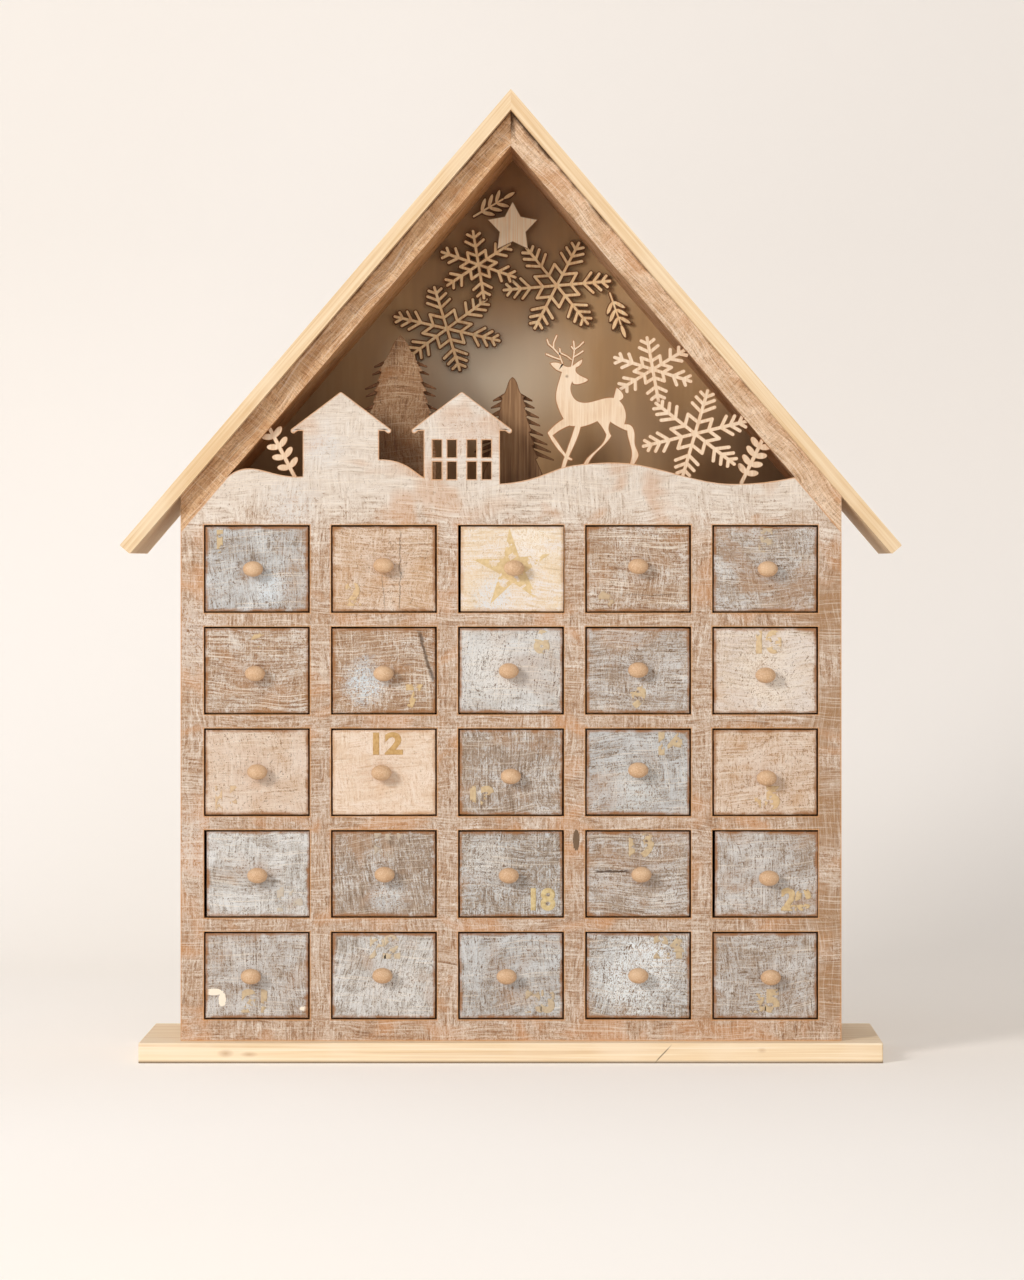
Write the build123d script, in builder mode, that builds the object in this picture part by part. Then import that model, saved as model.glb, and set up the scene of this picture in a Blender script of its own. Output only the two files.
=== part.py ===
from build123d import *
import os
from math import atan2, cos, degrees, radians, sin, tan

# Wooden house-shaped advent calendar with twenty-five drawers, in millimetres.
# +Z is up, the front faces -Y, and the origin is the middle of the base board's underside.

os.makedirs("parts", exist_ok=True)

# Drawer openings in the front panel
columns = 5
rows = 5
opening_width = 50.0
opening_height = 41.5
column_web = 10.0
row_web = 6.5
sill_height = 10.0

# Carcass boards
front_thickness = 5.0
back_thickness = 3.0
body_depth = 80.0
side_thickness = 10.0
side_reveal = 1.0
shelf_thickness = 5.0
divider_thickness = 8.0
deck_thickness = 5.0
lap_clearance = 0.2
overrun = 1.0

# Base board and the screws that hold it
base_thickness = 9.5
base_side_overhang = 19.0
base_front_overhang = 10.0
base_ease = 0.8
screw_inset_x = 36.0
screw_inset_y = 20.0
screw_bite_share = 0.75
screw_shank_radius = 1.75
screw_head_radius = 3.5
screw_clearance = 0.1

# Gable boards and roof
roof_pitch = 49.4
wall_above_deck = 2.2
gable_thickness = 10.7
roof_thickness = 6.25
roof_eave_overhang = 28.0
roof_front_overhang = 8.0
roof_ease = 0.6

# Drawers
drawer_reveal = 0.75
drawer_front_thickness = 5.0
drawer_front_ease = 0.5
tray_inset = 0.25
tray_wall = 3.0
tray_floor = 2.5
tray_height = 33.0
tray_back_clearance = 0.5
drawer_3_pull = 1.5
shifted_drawers = (3, 16, 20)
drawer_shift_share = 0.75

# Oval knobs
knob_width = 9.6
knob_height = 7.4
knob_thickness = 5.0
knob_dome_share = 0.77
knob_back_ease = 0.8
knob_neck_radius = 2.4
knob_neck_length = 3.5
knob_tenon_radius = 2.0
knob_tenon_clearance = 0.05

# Sideways and upward shift of each knob from the middle of its drawer, row by row from the top,
# as shares of the opening's width and height
knob_shift_shares = (
    ((-0.03, 0.00), (0.00, 0.04), (0.02, 0.01), (0.00, 0.03), (0.02, 0.00)),
    ((-0.01, -0.03), (0.00, -0.03), (-0.02, 0.00), (0.00, 0.01), (0.00, -0.05)),
    ((0.01, 0.01), (-0.02, 0.00), (0.00, -0.04), (0.00, 0.03), (0.01, -0.06)),
    ((0.00, -0.01), (0.01, 0.00), (-0.02, -0.01), (0.03, 0.00), (0.02, -0.04)),
    ((-0.05, 0.00), (-0.01, 0.01), (-0.04, 0.00), (0.00, 0.01), (0.05, -0.01)),
)

# Village silhouette along the top of the front panel
hill_height = 23.0
hill_end_shares = (0.685, 0.70)
hill_shares = (
    (-0.787, 0.88), (-0.70, 0.75), (-0.64, 0.71), (-0.50, 0.92), (-0.40, 1.065), (-0.312, 0.92),
    (-0.263, 0.69), (-0.15, 0.56), (0.00, 0.585), (0.09, 0.73), (0.148, 0.88), (0.236, 0.98),
    (0.346, 0.99), (0.493, 0.78), (0.64, 0.57), (0.713, 0.565),
)
house_place_shares = (-0.515, -0.149)
house_wall_width = 36.0
house_span = 45.0
house_eave_height = 38.0
house_peak_height = 55.0
house_roof_band = 2.4
pane_width = 4.3
pane_height = 8.3
muntin_width = 2.7
rail_height = 2.0
window_spacing = 16.4
window_height = 24.4

# Cut-out scenery, all sawn from one thickness of plywood
ply = 3.0
foot_height = 10.0

# Snowflakes: places are shares of half the body's width and of the niche's height,
# radii are shares of half the body's width
front_flake_strip = 1.75
back_flake_strip = 2.35
flake_hub_radius = 1.8
flake_petal_root_share = 0.26
flake_petal_tip_share = 0.46
flake_barb_lean = 52.0
large_barb_shares = ((0.50, 0.27), (0.68, 0.22), (0.85, 0.15))
small_barb_shares = ((0.54, 0.29), (0.80, 0.20))
front_lower_place_share = (0.558, 0.213)
front_lower_radius_share = 0.1635
front_lower_flatten_share = 0.82
front_lower_turn = 16.5
front_lower_foot_width = 7.0
front_upper_place_share = (0.430, 0.390)
front_upper_radius_share = 0.1245
front_upper_flatten_share = 0.78
front_upper_turn = 38.0
back_left_place_share = (-0.206, 0.522)
back_left_radius_share = 0.1705
back_left_flatten_share = 0.78
back_left_turn = 43.5
back_right_place_share = (0.138, 0.644)
back_right_radius_share = 0.1667
back_right_flatten_share = 0.88
back_right_turn = 5.5
back_top_place_share = (-0.107, 0.702)
back_top_radius_share = 0.1240
back_top_flatten_share = 0.85
back_top_turn = 38.0

# Star: its radius is a share of half the body's width
star_place_share = (0.0, 0.805)
star_radius_share = 0.0821
star_waist_share = 0.53

# Sprigs
sprig_stem = 1.9
front_sprig_leaf_length = 6.0
front_sprig_leaf_width = 3.0
front_sprig_lean = 62.0
front_sprig_pairs = 4
front_sprig_foot_width = 12.0
left_sprig_base_share = (-0.655, 0.092)
left_sprig_tip_share = (-0.735, 0.232)
right_sprig_base_share = (0.700, 0.080)
right_sprig_tip_share = (0.765, 0.200)
back_sprig_leaf_length = 7.5
back_sprig_leaf_width = 2.8
back_sprig_lean = 42.0
back_sprig_pairs = 3
back_right_sprig_base_share = (0.304, 0.622)
back_right_sprig_tip_share = (0.338, 0.535)
back_top_sprig_base_share = (-0.122, 0.840)
back_top_sprig_tip_share = (-0.032, 0.888)

# Firs: half widths are shares of the tree's half width, depths are shares of its height from the top
fir_trunk_width = 4.0
fir_branch_width = 4.6
fir_branch_tip = 0.7
fir_branch_droop = 21.0
left_fir_place_share = -0.341
left_fir_height = 84.5
left_fir_half_width = 17.0
left_fir_setback = 22.0
left_fir_crown_shares = ((0.06, 0.01), (0.27, 0.08), (0.48, 0.15))
left_fir_tier_shares = (
    (0.45, 0.155, 0.63, 0.203), (0.53, 0.207, 0.65, 0.262), (0.58, 0.266, 0.745, 0.315),
    (0.64, 0.320, 0.78, 0.380), (0.72, 0.385, 0.87, 0.440), (0.79, 0.445, 0.95, 0.530),
    (0.88, 0.540, 1.00, 0.660),
)
left_fir_branch_shares = (
    (0.75, 0.178), (0.80, 0.222), (1.00, 0.303), (0.98, 0.345), (1.02, 0.420), (1.10, 0.520),
)
right_fir_place_share = 0.003
right_fir_height = 64.3
right_fir_half_width = 14.3
right_fir_setback = 18.0
right_fir_crown_shares = ((0.07, 0.012), (0.20, 0.080), (0.45, 0.147))
right_fir_tier_shares = (
    (0.36, 0.165, 0.45, 0.222), (0.40, 0.228, 0.51, 0.285), (0.46, 0.292, 0.64, 0.400),
    (0.56, 0.412, 0.74, 0.500), (0.66, 0.510, 0.86, 0.600), (0.78, 0.610, 1.00, 0.720),
)
right_fir_branch_shares = (
    (0.66, 0.174), (0.73, 0.228), (0.88, 0.300), (0.92, 0.360), (1.02, 0.432), (1.16, 0.500),
    (1.28, 0.555), (1.38, 0.615),
)

# Deer: its width and height are shares of half the body's width and of the niche's height,
# and its outline runs are shares of its own size, each run starting where the last one ended
deer_width_share = 0.318
deer_height_share = 0.3831
deer_place_share = (0.088, 0.113)
deer_antler = 1.3
deer_foot_drop = 1.0
deer_body_shares = (
    ((0.17, 0.439), (0.146, 0.509), (0.162, 0.605), (0.20, 0.70)),
    ((0.145, 0.719), (0.089, 0.769)),
    ((0.145, 0.776), (0.217, 0.758)),
    ((0.272, 0.744), (0.31, 0.753)),
    ((0.357, 0.78), (0.408, 0.802)),
    ((0.398, 0.761), (0.349, 0.732)),
    ((0.387, 0.681), (0.463, 0.644), (0.425, 0.624), (0.306, 0.624)),
    ((0.298, 0.566), (0.357, 0.499), (0.451, 0.488), (0.578, 0.512), (0.697, 0.522)),
    ((0.71, 0.56), (0.721, 0.598)),
    ((0.778, 0.566), (0.799, 0.531), (0.765, 0.496)),
    ((0.812, 0.439), (0.812, 0.334)),
    ((0.884, 0.312), (0.906, 0.267), (0.912, 0.177), (0.944, 0.107), (0.906, 0.043), (0.901, -0.027)),
    ((0.846, -0.027),),
    ((0.85, 0.05), (0.869, 0.107), (0.85, 0.19), (0.825, 0.279)),
    ((0.748, 0.305), (0.672, 0.34)),
    ((0.659, 0.298), (0.685, 0.247)),
    ((0.587, 0.158), (0.468, 0.05), (0.459, -0.027)),
    ((0.408, -0.027),),
    ((0.417, 0.056), (0.519, 0.139), (0.625, 0.254)),
    ((0.587, 0.305), (0.544, 0.346)),
    ((0.459, 0.319), (0.391, 0.305)),
    ((0.34, 0.196), (0.255, 0.043), (0.238, -0.027)),
    ((0.183, -0.027),),
    ((0.204, 0.043), (0.264, 0.177), (0.323, 0.311)),
    ((0.281, 0.314), (0.213, 0.369)),
)
deer_foreleg_shares = (
    ((0.128, 0.321), (0.064, 0.267)),
    ((0.111, 0.203), (0.213, 0.107)),
    ((0.264, 0.072), (0.306, 0.066)),
    ((0.315, 0.082),),
    ((0.281, 0.098), (0.204, 0.165), (0.128, 0.247)),
    ((0.179, 0.276), (0.289, 0.316)),
    ((0.323, 0.349),),
    ((0.213, 0.369),),
)
deer_antler_shares = (
    ((0.213, 0.764), (0.183, 0.828), (0.128, 0.872), (0.081, 0.904), (0.068, 0.933)),
    ((0.128, 0.872), (0.128, 0.911), (0.157, 0.962)),
    ((0.204, 0.79), (0.128, 0.809), (0.06, 0.831)),
    ((0.191, 0.841), (0.187, 0.869)),
    ((0.20, 0.837), (0.255, 0.818), (0.298, 0.793)),
    ((0.302, 0.745), (0.319, 0.815), (0.327, 0.866), (0.319, 0.923)),
    ((0.33, 0.866), (0.374, 0.888), (0.412, 0.917)),
    ((0.315, 0.809), (0.366, 0.831), (0.408, 0.853)),
    ((0.321, 0.863), (0.298, 0.885)),
)
deer_foot_shares = (0.19, 0.90)

# Sizes and places that follow from those above
column_pitch = opening_width + column_web
row_pitch = opening_height + row_web
inner_width = columns * opening_width + (columns - 1) * column_web + 2 * side_reveal
body_width = inner_width + 2 * side_thickness
body_half = body_width / 2
inner_half = inner_width / 2
base_width = body_width + 2 * base_side_overhang
base_depth = base_front_overhang + body_depth
front_y = base_front_overhang - base_depth / 2
back_y = front_y + body_depth
inner_front_y = front_y + front_thickness
inner_back_y = back_y - back_thickness
inner_depth = inner_back_y - inner_front_y
middle_y = (inner_front_y + inner_back_y) / 2
floor_z = base_thickness + sill_height
head_room = row_web - shelf_thickness
deck_low_z = floor_z + rows * row_pitch - row_web + head_room
deck_z = deck_low_z + deck_thickness
slope = tan(radians(roof_pitch))
wall_inner_z = deck_z + wall_above_deck
eave_z = wall_inner_z - side_thickness * slope
niche_peak_z = eave_z + body_half * slope
niche_height = niche_peak_z - deck_z
gable_rise = gable_thickness / cos(radians(roof_pitch))
gable_peak_z = niche_peak_z + gable_rise
roof_rise = roof_thickness / cos(radians(roof_pitch))
roof_peak_z = gable_peak_z + roof_rise
roof_half = body_half + roof_eave_overhang
roof_front_y = front_y - roof_front_overhang
front_lower_radius = front_lower_radius_share * body_half
front_upper_radius = front_upper_radius_share * body_half
back_left_radius = back_left_radius_share * body_half
back_right_radius = back_right_radius_share * body_half
back_top_radius = back_top_radius_share * body_half
star_radius = star_radius_share * body_half
deer_width = deer_width_share * body_half
deer_height = deer_height_share * niche_height


def upright(y):
    # Sketch plane that faces the viewer at depth y; a positive extrusion comes forward
    return Plane.XZ.offset(-y)


def save(piece, name):
    piece.label = name
    export_step(piece, "parts/" + name + ".step")


def in_niche(shares):
    return (shares[0] * body_half, deck_z + shares[1] * niche_height)


def strip(start, end, width):
    # Straight strip with round ends
    run = Vector(end) - Vector(start)
    with Locations((Vector(start) + Vector(end)) / 2):
        SlotCenterToCenter(run.length, width, rotation=degrees(atan2(run.Y, run.X)))


def smooth_outline(runs, place):
    # Closed outline of curved and straight runs that meet at corners
    start = place(runs[-1][-1])
    for run in runs:
        points = [start] + [place(point) for point in run]
        if len(points) == 2:
            Line(points[0], points[1])
        else:
            Spline(*points)
        start = points[-1]


def niche_outline():
    # Clear space between the deck, the side walls and the two gable boards
    Polyline(
        (-inner_half, deck_z), (inner_half, deck_z), (inner_half, wall_inner_z),
        (0, niche_peak_z), (-inner_half, wall_inner_z), close=True,
    )


def snowflake(center, radius, flatten_share, turn, barb_shares, width):
    def spoke(share, angle):
        return Vector(radius * share * cos(radians(angle)), radius * share * flatten_share * sin(radians(angle)))

    middle = Vector(center)
    with Locations(middle):
        Circle(flake_hub_radius)
    for arm in range(6):
        angle = turn + 60 * arm
        tip = spoke(barb_shares[-1][0] + barb_shares[-1][1], angle)
        strip(middle, middle + tip, width)
        for along, length in barb_shares:
            root = middle + spoke(along, angle)
            strip(root, root + spoke(length, angle + flake_barb_lean), width)
            strip(root, root + spoke(length, angle - flake_barb_lean), width)
        petal = middle + spoke(flake_petal_tip_share, angle + 30)
        strip(middle + spoke(flake_petal_root_share, angle), petal, width)
        strip(petal, middle + spoke(flake_petal_root_share, angle + 60), width)


def sprig(base, tip, pairs, leaf_length, leaf_width, lean):
    stem = Vector(tip) - Vector(base)
    heading = degrees(atan2(stem.Y, stem.X))
    strip(base, tip, sprig_stem)
    roots = [Vector(base) + stem * ((pair + 1) / (pairs + 1)) for pair in range(pairs)]
    leaves = [(root, heading + side * lean) for root in roots for side in (1, -1)]
    leaves.append((Vector(tip), heading))
    for root, angle in leaves:
        reach = Vector(leaf_length / 2 * cos(radians(angle)), leaf_length / 2 * sin(radians(angle)))
        with Locations(root + reach):
            Ellipse(leaf_length / 2, leaf_width / 2, rotation=angle)


def foot(center_x, width):
    # Glue tab behind the hills, standing on the deck
    with Locations((center_x, deck_z)):
        Rectangle(width, foot_height, align=(Align.CENTER, Align.MIN))


# Base board with countersunk screw holes
screw_spots = GridLocations(inner_width - 2 * screw_inset_x, inner_depth - 2 * screw_inset_y, 2, 2)
screw_head_height = screw_head_radius - screw_shank_radius
screw_bite = screw_bite_share * sill_height
with BuildPart() as base_board:
    with BuildSketch(Plane.XY):
        Rectangle(base_width, base_depth)
    extrude(amount=base_thickness)
    fillet(base_board.edges().filter_by(Axis.Z), radius=base_ease)
    fillet(base_board.faces().sort_by(Axis.Z)[-1].edges(), radius=base_ease / 2)
    with BuildSketch(Plane.XY):
        with Locations((0, middle_y)):
            with screw_spots:
                Circle(screw_shank_radius + screw_clearance)
    extrude(amount=base_thickness, mode=Mode.SUBTRACT)
    with BuildSketch(Plane.XY):
        with Locations((0, middle_y)):
            with screw_spots:
                Circle(screw_head_radius + screw_clearance)
    extrude(amount=screw_head_height, taper=45, mode=Mode.SUBTRACT)
save(base_board.part, "base_board")

# Four countersunk wood screws, up through the base board into the bottom panel
with BuildPart() as base_screws:
    with BuildSketch(Plane.XY):
        with Locations((0, middle_y)):
            with screw_spots:
                Circle(screw_head_radius)
    extrude(amount=screw_head_height, taper=45)
    with BuildSketch(Plane.XY):
        with Locations((0, middle_y)):
            with screw_spots:
                Circle(screw_shank_radius)
    extrude(amount=base_thickness + screw_bite)
save(Compound(children=list(base_screws.part.solids())), "base_screws")

# Bottom panel, level with the lowest openings
with BuildPart() as bottom_panel:
    with BuildSketch(upright(inner_back_y)):
        with Locations((0, base_thickness)):
            Rectangle(inner_width, sill_height, align=(Align.CENTER, Align.MIN))
    extrude(amount=inner_depth)
    with BuildSketch(Plane.XY.offset(base_thickness)):
        with Locations((0, middle_y)):
            with screw_spots:
                Circle(screw_shank_radius + screw_clearance)
    extrude(amount=screw_bite + screw_clearance, mode=Mode.SUBTRACT)
save(bottom_panel.part, "bottom_panel")

# Side panels, with tops cut to the roof pitch
for side, name in ((-1, "side_panel_left"), (1, "side_panel_right")):
    with BuildPart() as side_panel:
        with BuildSketch(upright(inner_back_y)):
            with BuildLine():
                Polyline(
                    (side * inner_half, base_thickness), (side * body_half, base_thickness),
                    (side * body_half, eave_z), (side * inner_half, wall_inner_z), close=True,
                )
            make_face()
        extrude(amount=inner_depth)
    save(side_panel.part, name)

# Scene deck over the top row of drawers
with BuildPart() as scene_deck:
    with BuildSketch(upright(inner_back_y)):
        with Locations((0, deck_low_z)):
            Rectangle(inner_width, deck_thickness, align=(Align.CENTER, Align.MIN))
    extrude(amount=inner_depth)
save(scene_deck.part, "scene_deck")

# Shelves, slotted from behind to cross the dividers
lap_depth = inner_depth / 2 + lap_clearance
for level in range(1, rows):
    with BuildPart() as shelf:
        with BuildSketch(Plane.XY.offset(floor_z + level * row_pitch - shelf_thickness)):
            with Locations((0, middle_y)):
                Rectangle(inner_width, inner_depth)
            with Locations((0, inner_back_y + overrun)):
                with GridLocations(column_pitch, 0, columns - 1, 1):
                    Rectangle(
                        divider_thickness + 2 * lap_clearance, lap_depth + overrun,
                        align=(Align.CENTER, Align.MAX), mode=Mode.SUBTRACT,
                    )
        extrude(amount=shelf_thickness)
    save(shelf.part, "shelf_" + str(level))

# Dividers, slotted from the front to cross the shelves
for place in range(1, columns):
    divider_x = (place - columns / 2) * column_pitch
    with BuildPart() as divider:
        with BuildSketch(Plane.YZ.offset(divider_x - divider_thickness / 2)):
            with Locations((middle_y, floor_z)):
                Rectangle(inner_depth, deck_low_z - floor_z, align=(Align.CENTER, Align.MIN))
            for level in range(1, rows):
                with Locations((inner_front_y - overrun, floor_z + level * row_pitch + lap_clearance)):
                    Rectangle(
                        lap_depth + overrun, shelf_thickness + 2 * lap_clearance,
                        align=(Align.MIN, Align.MAX), mode=Mode.SUBTRACT,
                    )
        extrude(amount=divider_thickness)
    save(divider.part, "divider_" + str(place))

# Front panel with the drawer openings, the hills and the two houses
hill_ends = [deck_z + hill_height * share for share in hill_end_shares]
hill_corners = [
    (side * (body_half - (height - eave_z) / slope), height) for side, height in zip((-1, 1), hill_ends)
]
hill_points = [(body_half * x, deck_z + hill_height * z) for x, z in hill_shares]
opening_middle_z = floor_z + (rows * row_pitch - row_web) / 2
with BuildPart() as front_panel:
    with BuildSketch(upright(inner_front_y)):
        with BuildLine():
            Spline(hill_corners[0], *hill_points, hill_corners[1])
            Polyline(
                hill_corners[1], (body_half, eave_z), (body_half, base_thickness),
                (-body_half, base_thickness), (-body_half, eave_z), hill_corners[0],
            )
        make_face()
        for share in house_place_shares:
            house_x = share * body_half
            peak = (house_x, deck_z + house_peak_height)
            eaves = [(house_x + side * house_span / 2, deck_z + house_eave_height) for side in (-1, 1)]
            with Locations((house_x, deck_z)):
                Rectangle(house_wall_width, house_eave_height, align=(Align.CENTER, Align.MIN))
            with BuildLine():
                Polyline(peak, eaves[0], eaves[1], close=True)
            make_face()
            for eave in eaves:
                strip(peak, eave, house_roof_band)
        with Locations((house_place_shares[1] * body_half, deck_z + window_height)):
            with GridLocations(window_spacing, 0, 2, 1):
                with GridLocations(pane_width + muntin_width, pane_height + rail_height, 2, 2):
                    Rectangle(pane_width, pane_height, mode=Mode.SUBTRACT)
        with Locations((0, opening_middle_z)):
            with GridLocations(column_pitch, row_pitch, columns, rows):
                Rectangle(opening_width, opening_height, mode=Mode.SUBTRACT)
    extrude(amount=front_thickness)
save(front_panel.part, "front_panel")

# Back panel over the rear of the walls and gable boards
with BuildPart() as back_panel:
    with BuildSketch(upright(back_y)):
        with BuildLine():
            Polyline(
                (-body_half, base_thickness), (body_half, base_thickness), (body_half, eave_z + gable_rise),
                (0, gable_peak_z), (-body_half, eave_z + gable_rise), close=True,
            )
        make_face()
    extrude(amount=back_thickness)
save(back_panel.part, "back_panel")

# Gable boards, mitred at the peak
for side, name in ((-1, "gable_board_left"), (1, "gable_board_right")):
    with BuildPart() as gable_board:
        with BuildSketch(upright(inner_back_y)):
            with BuildLine():
                Polyline(
                    (0, niche_peak_z), (side * body_half, eave_z), (side * body_half, eave_z + gable_rise),
                    (0, gable_peak_z), close=True,
                )
            make_face()
        extrude(amount=inner_back_y - front_y)
    save(gable_board.part, name)

# Roof boards, mitred at the ridge and cut square at the eaves
eave_outer = Vector(roof_half, roof_peak_z - roof_half * slope)
eave_inner = eave_outer - Vector(sin(radians(roof_pitch)), cos(radians(roof_pitch))) * roof_thickness
for side, name in ((-1, "roof_board_left"), (1, "roof_board_right")):
    with BuildPart() as roof_board:
        with BuildSketch(upright(back_y)):
            with BuildLine():
                Polyline(
                    (0, gable_peak_z), (side * eave_inner.X, eave_inner.Y),
                    (side * eave_outer.X, eave_outer.Y), (0, roof_peak_z), close=True,
                )
            make_face()
        extrude(amount=back_y - roof_front_y)
        fillet(roof_board.edges().filter_by(Axis.Y).sort_by(Axis.Z)[:2], radius=roof_ease)
    save(roof_board.part, name)


def build_drawer(number, middle_x, low_z, knob_shift):
    pull = drawer_3_pull if number == 3 else 0
    center_x = middle_x + (drawer_shift_share * drawer_reveal if number in shifted_drawers else 0)
    face_y = front_y - pull
    plate_y = face_y + drawer_front_thickness
    tray_y = inner_back_y - tray_back_clearance - pull
    tray_length = tray_y - plate_y
    plate_width = opening_width - 2 * drawer_reveal
    tray_width = plate_width - 2 * tray_inset
    plate_height = opening_height - 2 * drawer_reveal
    middle_z = low_z + opening_height / 2
    knob_tightest = min(knob_width, knob_height) ** 2 / max(knob_width, knob_height) / 2
    knob_spot = (center_x + knob_shift[0] * opening_width, middle_z + knob_shift[1] * opening_height)

    with BuildPart() as plate:
        with BuildSketch(upright(plate_y)):
            with Locations((center_x, middle_z)):
                Rectangle(plate_width, plate_height)
        extrude(amount=drawer_front_thickness)
        fillet(plate.faces().sort_by(Axis.Y)[0].edges(), radius=drawer_front_ease)
        with BuildSketch(upright(plate_y)):
            with Locations(knob_spot):
                Circle(knob_tenon_radius + knob_tenon_clearance)
        extrude(amount=drawer_front_thickness, mode=Mode.SUBTRACT)

    with BuildPart() as sides:
        with BuildSketch(upright(tray_y)):
            with Locations((center_x, low_z)):
                with GridLocations(tray_width - tray_wall, 0, 2, 1):
                    Rectangle(tray_wall, tray_height, align=(Align.CENTER, Align.MIN))
        extrude(amount=tray_length)

    with BuildPart() as bottom:
        with BuildSketch(upright(tray_y)):
            with Locations((center_x, low_z)):
                Rectangle(tray_width - 2 * tray_wall, tray_floor, align=(Align.CENTER, Align.MIN))
        extrude(amount=tray_length)

    with BuildPart() as back:
        with BuildSketch(upright(tray_y)):
            with Locations((center_x, low_z + tray_floor)):
                Rectangle(
                    tray_width - 2 * tray_wall, tray_height - tray_floor, align=(Align.CENTER, Align.MIN)
                )
        extrude(amount=tray_wall)

    with BuildPart() as knob:
        with BuildSketch(upright(face_y - knob_neck_length)):
            with Locations(knob_spot):
                Ellipse(knob_width / 2, knob_height / 2)
        extrude(amount=knob_thickness)
        fillet(knob.faces().sort_by(Axis.Y)[0].edges(), radius=knob_dome_share * knob_tightest)
        fillet(knob.faces().sort_by(Axis.Y)[-1].edges(), radius=knob_back_ease)
        with BuildSketch(upright(face_y)):
            with Locations(knob_spot):
                Circle(knob_neck_radius)
        extrude(amount=knob_neck_length)
        with BuildSketch(upright(plate_y)):
            with Locations(knob_spot):
                Circle(knob_tenon_radius)
        extrude(amount=drawer_front_thickness)

    pieces = [plate.part, *sides.part.solids(), bottom.part, back.part, knob.part]
    return Compound(children=pieces)


# Twenty-five drawers, numbered left to right from the top row
for row in range(rows):
    for column in range(columns):
        drawer_number = row * columns + column + 1
        drawer = build_drawer(
            drawer_number,
            (column - (columns - 1) / 2) * column_pitch,
            floor_z + (rows - 1 - row) * row_pitch,
            knob_shift_shares[row][column],
        )
        save(drawer, "drawer_" + format(drawer_number, "02d"))

# Deer, glued behind the hills
deer_corner = in_niche(deer_place_share)


def on_deer(shares):
    return (deer_corner[0] + shares[0] * deer_width, deer_corner[1] + shares[1] * deer_height)


with BuildPart() as deer:
    with BuildSketch(upright(inner_front_y + ply)):
        for runs in (deer_body_shares, deer_foreleg_shares):
            with BuildLine():
                smooth_outline(runs, on_deer)
            make_face()
        for branch in deer_antler_shares:
            for start, end in zip(branch, branch[1:]):
                strip(on_deer(start), on_deer(end), deer_antler)
        foot_low, foot_high = [on_deer((share, 0))[0] for share in deer_foot_shares]
        with Locations(((foot_low + foot_high) / 2, deck_z)):
            Rectangle(
                foot_high - foot_low, deer_corner[1] - deer_foot_drop - deck_z,
                align=(Align.CENTER, Align.MIN),
            )
        with BuildLine():
            niche_outline()
        make_face(mode=Mode.INTERSECT)
    extrude(amount=ply)
save(deer.part, "deer")

# Large snowflake on the hill, its foot behind the front panel
front_lower_center = in_niche(front_lower_place_share)
front_lower_down = radians(front_lower_turn + 240)
front_lower_tip = (
    front_lower_center[0] + front_lower_radius * cos(front_lower_down),
    front_lower_center[1] + front_lower_radius * front_lower_flatten_share * sin(front_lower_down),
)
with BuildPart() as snowflake_front_lower:
    with BuildSketch(upright(inner_front_y + ply)):
        snowflake(
            front_lower_center, front_lower_radius, front_lower_flatten_share, front_lower_turn, large_barb_shares,
            front_flake_strip,
        )
        foot(front_lower_tip[0], front_lower_foot_width)
        strip(front_lower_tip, (front_lower_tip[0], deck_z + foot_height / 2), front_flake_strip)
        with BuildLine():
            niche_outline()
        make_face(mode=Mode.INTERSECT)
    extrude(amount=ply)
save(snowflake_front_lower.part, "snowflake_front_lower")

# Smaller snowflake, glued behind the deer's tail and the large snowflake
with BuildPart() as snowflake_front_upper:
    with BuildSketch(upright(inner_front_y + 2 * ply)):
        snowflake(
            in_niche(front_upper_place_share), front_upper_radius, front_upper_flatten_share, front_upper_turn,
            small_barb_shares, front_flake_strip,
        )
        with BuildLine():
            niche_outline()
        make_face(mode=Mode.INTERSECT)
    extrude(amount=ply)
save(snowflake_front_upper.part, "snowflake_front_upper")

# Leafy sprigs in the two corners, the right one a layer further back to pass the large snowflake
for name, layer, base_share, tip_share in (
    ("sprig_left", 1, left_sprig_base_share, left_sprig_tip_share),
    ("sprig_right", 2, right_sprig_base_share, right_sprig_tip_share),
):
    with BuildPart() as front_sprig:
        with BuildSketch(upright(inner_front_y + layer * ply)):
            sprig(
                in_niche(base_share), in_niche(tip_share), front_sprig_pairs, front_sprig_leaf_length,
                front_sprig_leaf_width, front_sprig_lean,
            )
            foot(in_niche(base_share)[0], front_sprig_foot_width)
            strip(in_niche(base_share), (in_niche(base_share)[0], deck_z + foot_height / 2), sprig_stem)
            with BuildLine():
                niche_outline()
            make_face(mode=Mode.INTERSECT)
        extrude(amount=ply)
    save(front_sprig.part, name)


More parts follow.
